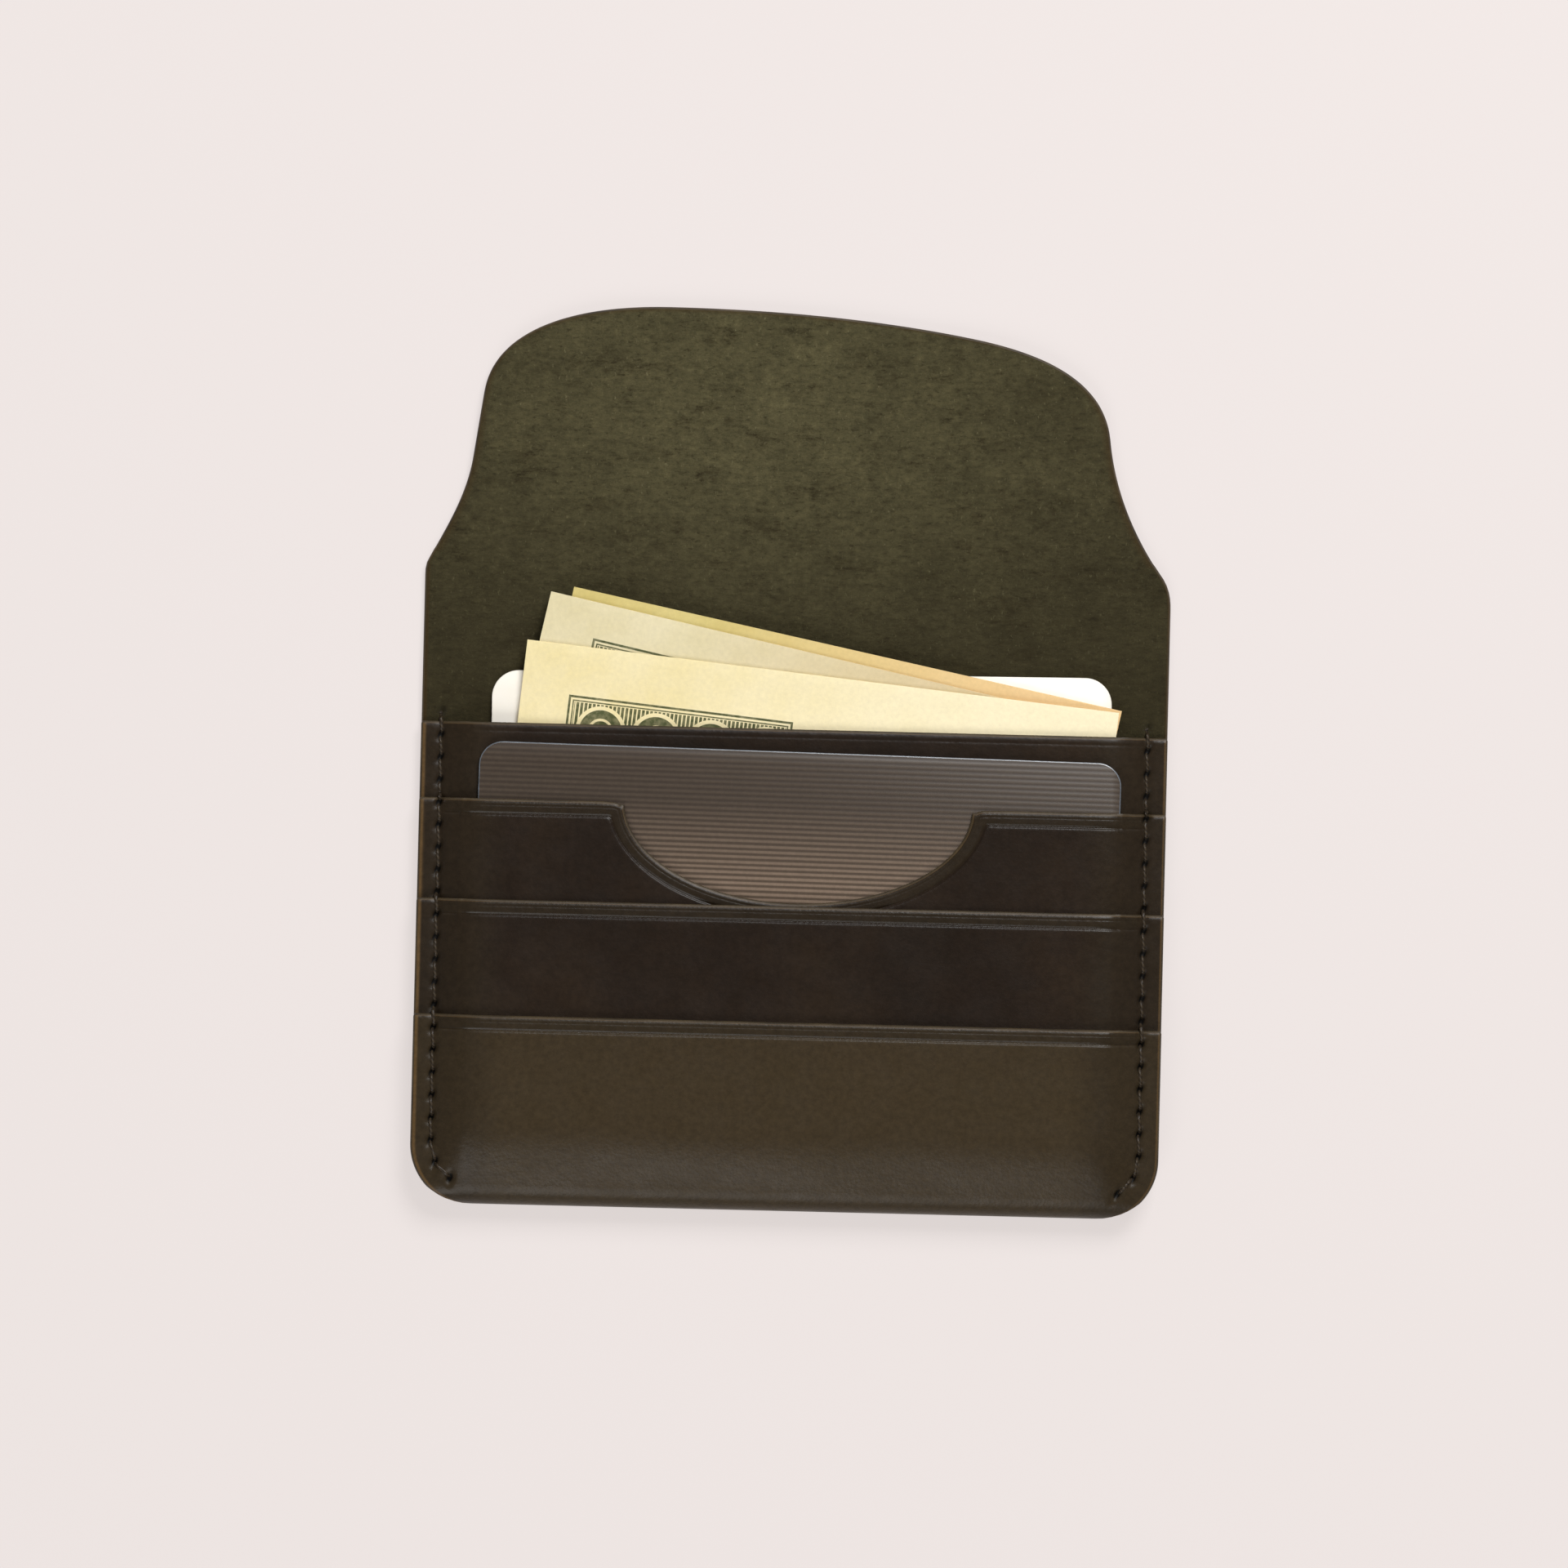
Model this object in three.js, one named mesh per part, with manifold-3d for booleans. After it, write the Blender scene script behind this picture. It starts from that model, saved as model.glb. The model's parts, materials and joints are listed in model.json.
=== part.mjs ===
// A leather flap card holder, lying open and flat, with two cards and three folded banknotes in it.
// One leather piece makes the flap, the back and the front pocket, which is folded up from below.
// Three more pocket panels lie between the back and the front pocket, and one row of saddle
// stitches down each side holds them all. Millimetres, +X to the right, +Y towards the flap, +Z up.
import * as THREE from "three";
import { mergeVertices } from "three/addons/utils/BufferGeometryUtils.js";
import Module from "manifold-3d";

const wasm = await Module();
wasm.setup();

// Leather
const mainThickness = 1.2;
const panelThickness = 0.8;
const glueLine = 0.03;
const cornerRadius = 8;

// A bank card sets the width of the pockets
const cardWidth = 85.6;
const cardHeight = 53.98;
const cardCorner = 3.18;
const cardThickness = 0.76;
const cardPlay = 1.1;
const pocketSlope = 2.3;
const seamFlat = 0.95;
const stitchMargin = 2.7;

// Pocket edges, each above the one in front of it
const frontPocketHeight = 25.3;
const middlePanelStep = 15.4;
const notchPanelStep = 13.4;
const rearPanelStep = 10.2;
const contentsFloor = 6.7;

// Thumb notch
const notchWidth = 46.3;
const notchDepth = 13;
const notchOffset = 0.75;
const notchLip = 1.1;

// Stitches
const stitchPitch = 3;
const firstStitchAboveEdge = 1.2;
const stitchCornerRadius = 5.5;
const cornerStitches = 2;
const holeLength = 1.5;
const holeWidth = 0.84;
const holeSlant = 40;
const threadWidth = 0.5;
const threadHeight = 0.35;
const legLength = 0.4;
const grooveWidth = 0.9;
const grooveDepth = 0.45;
const threadGap = 0.04;

// Cards
const darkCard = { aboveFloor: 0.6, offset: 0.6, tilt: -0.7 };
const whiteCard = { leftGap: 3.65, rightGap: 1.4, height: 54, corner: 3.6, aboveFloor: 11, tilt: 0.6 };

// Banknotes folded in half, fold upwards. Each fills the upright box that these gaps leave.
const notePly = 0.12;
const noteFoldGap = 0.06;
const backNote = { leftGap: 2.6, rightGap: 0.3, aboveFloor: 4.25, standsOut: 18.3, tilt: -11.4 };
const middleNote = { leftGap: 0.5, rightGap: 2.3, aboveFloor: 9.6, standsOut: 17.6, tilt: -11.9 };
const frontNote = { leftGap: 2, rightGap: 0.7, aboveFloor: 0.1, standsOut: 11.1, tilt: -5.67 };
const noteToFold = 1.8;

// Flap. Each knot of its edge lies at a height above the fold line and so far inside the body's side.
// From there the curve leaves backwards and onwards, going round from the right shoulder to the left.
const flapLength = 35.9;
const closingGap = 0.9;
const foldGap = 0.1;
const rightShoulder = { height: -0.4, round: 2.6 };
const rightShoulderTop = { inset: 1.8, height: 1.6, onwards: [-3.4, 5.3] };
const rightNeck = { inset: 8.55, height: 19.1, back: [0.75, -6.2], onwards: [-0.7, 7.8] };
const rightBrow = { inset: 25.85, drop: 3.55, back: [9.2, -1.9], onwards: [-13, 2.55] };
const crown = { inset: 31.85, back: [14, 0], onwards: [-13, 0] };
const leftBrow = { inset: 7.35, height: 24.2, back: [1.3, 8.1] };
const leftNeck = { inset: 6.1, height: 15.6, onwards: [-0.7, -5.5] };
const leftShoulderTop = { inset: 0.45, height: 1.5, back: [1.95, 3.8] };
const leftShoulder = { height: 0.8, round: 1.2 };

// Faces on curves
const curveSteps = 12;
const slopeSteps = 4;
const foldSteps = 8;

const colours = {
  leather: "#33291f",
  thread: "#1c1815",
  darkCard: "#3a3436",
  whiteCard: "#f4efe9",
  frontNote: "#ecdfa9",
  middleNote: "#d8cfa8",
  backNote: "#d5b765",
};

// Sizes that follow from those above
const flatHalf = cardWidth / 2 + cardPlay;
const seamInner = flatHalf + pocketSlope;
const stitchLine = seamInner + seamFlat;
const halfWidth = stitchLine + stitchMargin;
const noteThickness = 2 * notePly + noteFoldGap;
const frontTop = frontPocketHeight;
const middleTop = frontTop + middlePanelStep;
const notchTop = middleTop + notchPanelStep;
const rearTop = notchTop + rearPanelStep;
const tallestNote = Math.max(backNote.standsOut, middleNote.standsOut, frontNote.standsOut);
const foldLine = rearTop + tallestNote + noteToFold;

// What lies on the back inside the pockets, from the bottom up, each a glue line above the last
const whiteCardZ = mainThickness + glueLine;
const backNoteZ = whiteCardZ + cardThickness + glueLine;
const middleNoteZ = backNoteZ + noteThickness + glueLine;
const frontNoteZ = middleNoteZ + noteThickness + glueLine;
const contentsTop = frontNoteZ + noteThickness + glueLine;
const darkCardZ = contentsTop + panelThickness + glueLine;

// A pocket panel's flesh side: its height at the seams, and how far the contents lift it between them
const layer = panelThickness + glueLine;
const rearSeamZ = mainThickness + glueLine;
const rearPanel = { seamZ: rearSeamZ, lift: contentsTop - rearSeamZ, top: rearTop };
const bulge = darkCardZ + cardThickness + glueLine - (rearSeamZ + layer);
const notchPanel = { seamZ: rearSeamZ + layer, lift: bulge, top: notchTop };
const middlePanel = { seamZ: rearSeamZ + 2 * layer, lift: bulge, top: middleTop };
const frontPocket = { seamZ: rearSeamZ + 3 * layer, lift: bulge, top: frontTop };
const foldOuter = (frontPocket.seamZ + mainThickness) / 2;
const foldInner = foldOuter - mainThickness;

// The strip that stands up behind the stack when the flap is closed
const stackUnderFlap = notchPanel.seamZ + notchPanel.lift + panelThickness;
const stripWidth = stackUnderFlap + closingGap - mainThickness;
const flapLine = foldLine + stripWidth;
const overallLength = foldLine + flapLength;
const aboveEverything = frontPocket.seamZ + frontPocket.lift + mainThickness + 1;

const smooth = (share) => share * share * (3 - 2 * share);
const clamp01 = (value) => Math.min(1, Math.max(0, value));

function pocketLift(x, y) {
  const across = 1 - smooth(clamp01((Math.abs(x) - flatHalf) / pocketSlope));
  const up = smooth(clamp01((y - foldOuter) / (contentsFloor - foldOuter)));
  return across * up;
}

function toSolid(geometry) {
  const bare = geometry.clone();
  bare.deleteAttribute("normal");
  bare.deleteAttribute("uv");
  const merged = mergeVertices(bare, 1e-5);
  return new wasm.Manifold(
    new wasm.Mesh({
      numProp: 3,
      vertProperties: new Float32Array(merged.attributes.position.array),
      triVerts: new Uint32Array(merged.index.array),
    }),
  );
}

function toGeometry(solid) {
  const mesh = solid.getMesh();
  const geometry = new THREE.BufferGeometry();
  geometry.setAttribute("position", new THREE.BufferAttribute(mesh.vertProperties, 3));
  geometry.setIndex(new THREE.BufferAttribute(mesh.triVerts, 1));
  return geometry;
}

function addAll(solids) {
  return solids.reduce((whole, next) => whole.add(next));
}

function prism(shape, low, high) {
  const settings = { depth: high - low, bevelEnabled: false, curveSegments: curveSteps };
  return new THREE.ExtrudeGeometry(shape, settings).translate(0, 0, low);
}

function box(xRange, yRange, zRange) {
  const size = [xRange, yRange, zRange].map(([low, high]) => high - low);
  const middle = [xRange, yRange, zRange].map(([low, high]) => (low + high) / 2);
  return new THREE.BoxGeometry(...size).translate(...middle);
}

// The cut shape of the main leather seen from above, from the bottom fold to the flap's edge
function mainOutline() {
  const left = -halfWidth;
  const right = halfWidth;
  const onRight = (knot) => ({ ...knot, x: right - knot.inset, y: foldLine + knot.height });
  const onLeft = (knot) => ({ ...knot, x: left + knot.inset, y: foldLine + knot.height });
  const rightShoulderY = foldLine + rightShoulder.height;
  const leftShoulderY = foldLine + leftShoulder.height;
  const shoulder = onRight(rightShoulderTop);
  const lastShoulder = onLeft(leftShoulderTop);
  const brow = onRight({ ...rightBrow, height: flapLength - rightBrow.drop });
  const top = onLeft({ ...crown, height: flapLength });

  const shape = new THREE.Shape();
  const curve = (from, to) => shape.bezierCurveTo(
    from.x + from.onwards[0], from.y + from.onwards[1], to.x + to.back[0], to.y + to.back[1], to.x, to.y,
  );
  shape.moveTo(left + cornerRadius, 0);
  shape.lineTo(right - cornerRadius, 0);
  shape.absarc(right - cornerRadius, cornerRadius, cornerRadius, -Math.PI / 2, 0);
  shape.lineTo(right, rightShoulderY - rightShoulder.round);
  shape.quadraticCurveTo(right, rightShoulderY, shoulder.x, shoulder.y);
  curve(shoulder, onRight(rightNeck));
  curve(onRight(rightNeck), brow);
  curve(brow, top);
  curve(top, onLeft(leftBrow));
  shape.lineTo(left + leftNeck.inset, foldLine + leftNeck.height);
  curve(onLeft(leftNeck), lastShoulder);
  shape.quadraticCurveTo(left, leftShoulderY, left, leftShoulderY - leftShoulder.round);
  shape.lineTo(left, cornerRadius);
  shape.absarc(left + cornerRadius, cornerRadius, cornerRadius, Math.PI, Math.PI * 1.5);
  return shape;
}

// A closed leather sheet from a grid of points, each with a place on the flesh and the grain side
function leatherSheet(rows) {
  const columns = rows[0].length;
  const positions = rows.flat().flatMap((point) => [...point.flesh, ...point.grain]);
  const flesh = (row, column) => (row * columns + column) * 2;
  const grain = (row, column) => flesh(row, column) + 1;
  const triangles = [];
  const quad = (a, b, c, d) => triangles.push(a, b, c, a, c, d);
  const lastRow = rows.length - 1;
  const lastColumn = columns - 1;
  for (let row = 0; row < lastRow; row += 1) {
    for (let column = 0; column < lastColumn; column += 1) {
      quad(flesh(row, column), flesh(row, column + 1), flesh(row + 1, column + 1), flesh(row + 1, column));
      quad(grain(row, column), grain(row + 1, column), grain(row + 1, column + 1), grain(row, column + 1));
    }
    quad(flesh(row, 0), flesh(row + 1, 0), grain(row + 1, 0), grain(row, 0));
    quad(grain(row, lastColumn), grain(row + 1, lastColumn), flesh(row + 1, lastColumn), flesh(row, lastColumn));
  }
  for (let column = 0; column < lastColumn; column += 1) {
    quad(grain(0, column), grain(0, column + 1), flesh(0, column + 1), flesh(0, column));
    quad(flesh(lastRow, column), flesh(lastRow, column + 1), grain(lastRow, column + 1), grain(lastRow, column));
  }
  const geometry = new THREE.BufferGeometry();
  geometry.setAttribute("position", new THREE.Float32BufferAttribute(positions, 3));
  geometry.setIndex(triangles);
  return geometry;
}

// Grid lines across the pockets, from right to left, closer together where a panel comes down to its seam
function columnPlaces() {
  const right = [halfWidth + 1];
  for (let step = slopeSteps; step >= 0; step -= 1) {
    right.push(flatHalf + (pocketSlope * step) / slopeSteps);
  }
  return [...right, ...right.map((x) => -x).reverse()];
}

// Rows of a pocket panel from the bottom fold to its top edge
function panelRows(panel, thickness) {
  const heights = [];
  for (let step = 0; step <= slopeSteps; step += 1) {
    heights.push(foldOuter + ((contentsFloor - foldOuter) * step) / slopeSteps);
  }
  heights.push(panel.top);
  return heights.map((y) =>
    columnPlaces().map((x) => {
      const z = panel.seamZ + panel.lift * pocketLift(x, y);
      return { flesh: [x, y, z], grain: [x, y, z + thickness] };
    }),
  );
}

function pocketPanel(panel, outline) {
  return toSolid(leatherSheet(panelRows(panel, panelThickness))).intersect(outline);
}

// The back and the front pocket are one sheet, bent round the bottom fold
function backAndFrontPocket(outline) {
  const acrossAt = (y, fleshZ, grainZ) =>
    columnPlaces().map((x) => ({ flesh: [x, y, fleshZ], grain: [x, y, grainZ] }));
  const rows = [acrossAt(foldLine - foldGap / 2, mainThickness, 0)];
  for (let step = 0; step < foldSteps; step += 1) {
    const angle = (Math.PI * step) / foldSteps;
    rows.push(
      columnPlaces().map((x) => ({
        flesh: [x, foldOuter - foldInner * Math.sin(angle), foldOuter - foldInner * Math.cos(angle)],
        grain: [x, foldOuter - foldOuter * Math.sin(angle), foldOuter - foldOuter * Math.cos(angle)],
      })),
    );
  }
  rows.push(...panelRows(frontPocket, mainThickness));
  return toSolid(leatherSheet(rows)).intersect(outline);
}

function acrossFlap(low, high) {
  return toSolid(box([-halfWidth - 1, halfWidth + 1], [low, high], [-1, mainThickness + 1]));
}

function thumbNotch() {
  const half = notchWidth / 2;
  const left = notchOffset - half;
  const right = notchOffset + half;
  const shape = new THREE.Shape();
  shape.moveTo(left - notchLip, notchTop + 1);
  shape.lineTo(left - notchLip, notchTop);
  shape.quadraticCurveTo(left, notchTop, left, notchTop - notchLip);
  shape.absellipse(notchOffset, notchTop - notchLip, half, notchDepth - notchLip, Math.PI, 2 * Math.PI);
  shape.quadraticCurveTo(right, notchTop, right + notchLip, notchTop);
  shape.lineTo(right + notchLip, notchTop + 1);
  return prism(shape, 0, aboveEverything);
}

// Stitch holes from the first, above the rear panel's edge, down and round the bottom corner
function stitchHoles(side) {
  const arcTop = contentsFloor + 1.5;
  const holes = [];
  let y = rearTop + firstStitchAboveEdge;
  while (y > arcTop) {
    holes.push(new THREE.Vector2(side * stitchLine, y));
    y -= stitchPitch;
  }
  const turn = stitchPitch / stitchCornerRadius;
  const start = (arcTop - y) / stitchCornerRadius;
  for (let count = 0; count < cornerStitches; count += 1) {
    const angle = start + turn * count;
    const x = stitchLine - stitchCornerRadius * (1 - Math.cos(angle));
    holes.push(new THREE.Vector2(side * x, arcTop - stitchCornerRadius * Math.sin(angle)));
  }
  return holes;
}

function holeCutters(holes, side) {
  const shape = new THREE.Shape();
  shape.moveTo(0, -holeLength / 2);
  shape.lineTo(holeWidth / 2, 0);
  shape.lineTo(0, holeLength / 2);
  shape.lineTo(-holeWidth / 2, 0);
  const awl = prism(shape, -1, aboveEverything).rotateZ(THREE.MathUtils.degToRad(-side * holeSlant));
  return addAll(holes.map((hole) => toSolid(awl.clone().translate(hole.x, hole.y, 0))));
}

// A bar from one hole to the next, running on past both by the same amount
function barBetween(from, to, width, overrun, low, high) {
  const along = new THREE.Vector2().subVectors(to, from);
  const half = along.length() / 2 + overrun;
  const bar = box([-half, half], [-width / 2, width / 2], [low, high]);
  bar.rotateZ(along.angle());
  return toSolid(bar.translate((from.x + to.x) / 2, (from.y + to.y) / 2, 0));
}

// Height of the leather's top side beside a seam
function seamTop(x, y) {
  if (y <= frontPocket.top) {
    return frontPocket.seamZ + frontPocket.lift * pocketLift(x, y) + mainThickness;
  }
  const panel = [middlePanel, notchPanel, rearPanel].find((one) => y <= one.top);
  return panel ? panel.seamZ + panel.lift * pocketLift(x, y) + panelThickness : mainThickness;
}

function levelBetween(from, to) {
  const inward = -Math.sign(from.x) * threadWidth;
  const levels = [-0.1, 0, 0.25, 0.5, 0.75, 1, 1.1].flatMap((share) => {
    const place = new THREE.Vector2().lerpVectors(from, to, share);
    return [seamTop(place.x, place.y), seamTop(place.x + inward, place.y)];
  });
  return Math.max(...levels) + threadGap;
}

// One saddle-stitched thread: a bar over and a bar under each pair of holes, and a leg through each hole
function stitching(holes) {
  const low = threadGap;
  const solids = [];
  const legTops = holes.map(() => 0);
  for (let index = 1; index < holes.length; index += 1) {
    const from = holes[index - 1];
    const to = holes[index];
    const level = levelBetween(from, to);
    const high = level + threadHeight;
    solids.push(barBetween(from, to, threadWidth, legLength / 2, level, high));
    solids.push(barBetween(from, to, threadWidth, legLength / 2, low, low + threadHeight));
    legTops[index - 1] = Math.max(legTops[index - 1], high);
    legTops[index] = Math.max(legTops[index], high);
  }
  holes.forEach((hole, index) => {
    const half = legLength / 2;
    const leg = box([-half, half], [-half, half], [low, legTops[index]]);
    solids.push(toSolid(leg.translate(hole.x, hole.y, 0)));
  });
  return addAll(solids);
}

function stitchGroove(holes) {
  const bars = holes.slice(1).map((hole, index) =>
    barBetween(holes[index], hole, grooveWidth, holeLength / 2, -1, grooveDepth),
  );
  return addAll(bars);
}

function roundedCard(width, height, corner) {
  const shape = new THREE.Shape();
  const x = width / 2;
  const y = height / 2;
  shape.moveTo(corner - x, -y);
  shape.lineTo(x - corner, -y);
  shape.absarc(x - corner, corner - y, corner, -Math.PI / 2, 0);
  shape.lineTo(x, y - corner);
  shape.absarc(x - corner, y - corner, corner, 0, Math.PI / 2);
  shape.lineTo(corner - x, y);
  shape.absarc(corner - x, y - corner, corner, Math.PI / 2, Math.PI);
  shape.lineTo(-x, corner - y);
  shape.absarc(corner - x, corner - y, corner, Math.PI, Math.PI * 1.5);
  return prism(shape, 0, cardThickness);
}

// A sheet of banknote paper bent over on itself along its top edge
function foldedNote(note) {
  const tilt = THREE.MathUtils.degToRad(Math.abs(note.tilt));
  const across = 2 * flatHalf - note.leftGap - note.rightGap;
  const up = rearTop + note.standsOut - contentsFloor - note.aboveFloor;
  const width = (across * Math.cos(tilt) - up * Math.sin(tilt)) / Math.cos(2 * tilt);
  const height = (up * Math.cos(tilt) - across * Math.sin(tilt)) / Math.cos(2 * tilt);
  const outer = noteThickness / 2;
  const inner = noteFoldGap / 2;
  const section = new THREE.Shape();
  section.moveTo(-height / 2, -outer);
  section.lineTo(height / 2 - outer, -outer);
  section.absarc(height / 2 - outer, 0, outer, -Math.PI / 2, Math.PI / 2);
  section.lineTo(-height / 2, outer);
  section.lineTo(-height / 2, inner);
  section.lineTo(height / 2 - outer, inner);
  section.absarc(height / 2 - outer, 0, inner, Math.PI / 2, -Math.PI / 2, true);
  section.lineTo(-height / 2, -inner);
  const paper = new THREE.ExtrudeGeometry(section, { depth: width, bevelEnabled: false, curveSegments: 4 });
  paper.translate(0, 0, -width / 2);
  paper.applyMatrix4(new THREE.Matrix4().makeBasis(
    new THREE.Vector3(0, 1, 0),
    new THREE.Vector3(0, 0, 1),
    new THREE.Vector3(1, 0, 0),
  ));
  return paper.translate(0, 0, outer);
}

const leather = new THREE.MeshStandardMaterial({ color: colours.leather, roughness: 0.55 });
const group = new THREE.Group();
group.position.y = -overallLength / 2;

function place(name, geometry, material, x = 0, y = 0, z = 0, tilt = 0) {
  const mesh = new THREE.Mesh(geometry, material);
  geometry.computeVertexNormals();
  mesh.name = name;
  mesh.position.set(x, y, z);
  mesh.rotation.z = THREE.MathUtils.degToRad(tilt);
  group.add(mesh);
}

function placeNote(name, note, z, colour) {
  const paper = new THREE.MeshStandardMaterial({ color: colour, roughness: 0.85 });
  const x = (note.leftGap - note.rightGap) / 2;
  const y = (rearTop + note.standsOut + contentsFloor + note.aboveFloor) / 2;
  place(name, foldedNote(note), paper, x, y, z, note.tilt);
}

function placeCard(name, card, z, colour) {
  const plastic = new THREE.MeshStandardMaterial({ color: colour, roughness: 0.4 });
  const y = contentsFloor + card.aboveFloor + card.height / 2;
  place(name, roundedCard(card.width, card.height, card.corner), plastic, card.offset, y, z, card.tilt);
}

const outlinePrism = toSolid(prism(mainOutline(), -1, aboveEverything));
const leftHoles = stitchHoles(-1);
const rightHoles = stitchHoles(1);
const awlHoles = holeCutters(leftHoles, -1).add(holeCutters(rightHoles, 1));
const grooves = stitchGroove(leftHoles).add(stitchGroove(rightHoles));
const flatLeather = toSolid(prism(mainOutline(), 0, mainThickness));

const mainPiece = backAndFrontPocket(outlinePrism).subtract(awlHoles).subtract(grooves);
place("back_and_front_pocket", toGeometry(mainPiece), leather);
const strip = flatLeather.intersect(acrossFlap(foldLine + foldGap / 2, flapLine - foldGap / 2));
place("flap_fold_strip", toGeometry(strip), leather);
const flap = flatLeather.intersect(acrossFlap(flapLine + foldGap / 2, overallLength + 1));
place("flap", toGeometry(flap), leather);

place("rear_pocket_panel", toGeometry(pocketPanel(rearPanel, outlinePrism).subtract(awlHoles)), leather);
const notched = pocketPanel(notchPanel, outlinePrism).subtract(awlHoles).subtract(toSolid(thumbNotch()));
place("thumb_notch_panel", toGeometry(notched), leather);
place("middle_pocket_panel", toGeometry(pocketPanel(middlePanel, outlinePrism).subtract(awlHoles)), leather);

const thread = new THREE.MeshStandardMaterial({ color: colours.thread, roughness: 0.6 });
place("stitching_left", toGeometry(stitching(leftHoles)), thread);
place("stitching_right", toGeometry(stitching(rightHoles)), thread);

const bankCard = { ...darkCard, width: cardWidth, height: cardHeight, corner: cardCorner };
const cardBehind = {
  ...whiteCard,
  width: 2 * flatHalf - whiteCard.leftGap - whiteCard.rightGap,
  offset: (whiteCard.leftGap - whiteCard.rightGap) / 2,
};
placeCard("dark_card", bankCard, darkCardZ, colours.darkCard);
placeCard("white_card", cardBehind, whiteCardZ, colours.whiteCard);
placeNote("banknote_back", backNote, backNoteZ, colours.backNote);
placeNote("banknote_middle", middleNote, middleNoteZ, colours.middleNote);
placeNote("banknote_front", frontNote, frontNoteZ, colours.frontNote);

export default group;
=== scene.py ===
# A leather flap card holder lying open, with a bank card, a plain white card and three folded
# banknotes in its pockets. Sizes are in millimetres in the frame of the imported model, and turn
# into metres where a mesh is made.
import json
import math

import bpy
import numpy as np
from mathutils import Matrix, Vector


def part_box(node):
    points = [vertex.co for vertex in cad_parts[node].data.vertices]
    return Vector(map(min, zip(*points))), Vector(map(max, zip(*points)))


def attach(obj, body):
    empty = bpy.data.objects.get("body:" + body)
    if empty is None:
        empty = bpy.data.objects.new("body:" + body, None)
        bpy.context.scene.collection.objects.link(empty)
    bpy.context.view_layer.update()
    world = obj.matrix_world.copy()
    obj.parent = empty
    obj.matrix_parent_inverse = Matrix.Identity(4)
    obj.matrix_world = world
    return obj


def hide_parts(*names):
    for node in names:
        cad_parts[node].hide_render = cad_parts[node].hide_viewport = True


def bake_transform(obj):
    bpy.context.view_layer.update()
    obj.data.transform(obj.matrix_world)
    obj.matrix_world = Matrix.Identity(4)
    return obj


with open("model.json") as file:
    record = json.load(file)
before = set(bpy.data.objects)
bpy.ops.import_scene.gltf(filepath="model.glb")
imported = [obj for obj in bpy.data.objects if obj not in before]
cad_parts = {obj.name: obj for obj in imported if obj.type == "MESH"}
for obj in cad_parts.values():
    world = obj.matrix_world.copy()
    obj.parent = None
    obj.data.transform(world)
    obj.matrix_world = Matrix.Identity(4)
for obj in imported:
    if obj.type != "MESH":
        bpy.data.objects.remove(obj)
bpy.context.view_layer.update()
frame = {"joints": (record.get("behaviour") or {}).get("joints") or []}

MM = 0.001

# Leather, as it was cut
MAIN_THICK = 1.2
PANEL_THICK = 0.8
GLUE_LINE = 0.03
CORNER_RADIUS = 8.0
EDGE_ROUND = 0.28
EDGE_STEPS = 5
STRETCHED_THICK = 0.16
LEAST_THICK = 0.08

# Wear along the outer edge: its width, how softly it ends, and the share of it that the right side lacks
WORN_EDGE = 0.55
WORN_EASE = 0.25
LESS_ON_RIGHT = 0.7

# Pockets
FRONT_POCKET_HEIGHT = 25.3
CREASE_FROM_EDGE = 1.7
REAR_CREASE_FROM_EDGE = 0.85
REAR_PRESSED = 0.25
FLAT_HALF = 43.9
POCKET_SLOPE = 2.3
CONTENTS_FLOOR = 6.7
CONTENTS_CORNER = 1.2
SEAM_EDGE = 46.9
SOFT_BEND = 5.4
SOFT_RISE = 11.5

# Flap: how far below the first crease the body's straight sides end
STRAIGHT_BELOW_CREASE = 3

# Thumb notch
NOTCH_MIDDLE = 0.75
NOTCH_HALF = 23.15
NOTCH_DEPTH = 13.0
NOTCH_LIP = 0.7
NOTCH_SHARE = 0.3

# Stitches
STITCH_LINE = 47.15
STITCH_PITCH = 3.0
FIRST_STITCH = 1.2
STITCH_CORNER = 5.5
STITCH_TURN = 1.5
CORNER_STITCHES = 2
HOLE_SLANT = math.radians(25)
HOLE_LONG = 0.74
HOLE_WIDE = 0.42
PANEL_HOLE = 0.66
FRONT_HOLE = 0.85
BACK_HOLE = 0.7
GROOVE_DEEP = 0.13
GROOVE_WIDE = 0.55
UNDER_GROOVE_DEEP = 0.42
UNDER_GROOVE_WIDE = 0.4
THREAD_RADIUS = 0.26
THREAD_LEAN = 0.3
THREAD_SUNK = 0.19
THREAD_DIVE = 1.3
THREAD_LOWEST = 0.5
UNDER_THREAD = 0.24

# Cards: width, height, corner radius and tilt in degrees
BANK_CARD = (85.6, 53.98, 3.18, -0.7)
PLAIN_CARD = (82.75, 54, 3.6, 0.6)
CARD_THICK = 0.76
CARD_ROUND = 0.16
CARD_BEVEL = 0.05

# Banknotes, with their tilt in degrees
NOTE_PLY = 0.12
NOTE_THICK = 0.3
NOTE_TILT = {"front": -5.67, "middle": -11.9, "back": -11.4}

# Mesh: steps round the fold and along the notch, the space between rows, and how deep they lie close
FOLD_STEPS = 12
NOTCH_STEPS = 72
ROW_STEP = 0.36
NEAR_EDGE = 4

# The photograph looks straight down on a pale ground, and the holder lies turned a little in it.
VIEW_RIGHT = -1.23
VIEW_UP = 56.97
VIEW_HEIGHT = 1164.6
VIEW_TURN = 1.4
LENS = 200
SENSOR = 36
GROUND = "#ede5e3"
GROUND_REACH = 4000
GROUND_DROP = 0.02
GROUND_GLOW = 0.75


def corners(node):
    low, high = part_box(node)
    return np.array(low) / MM, np.array(high) / MM


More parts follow.
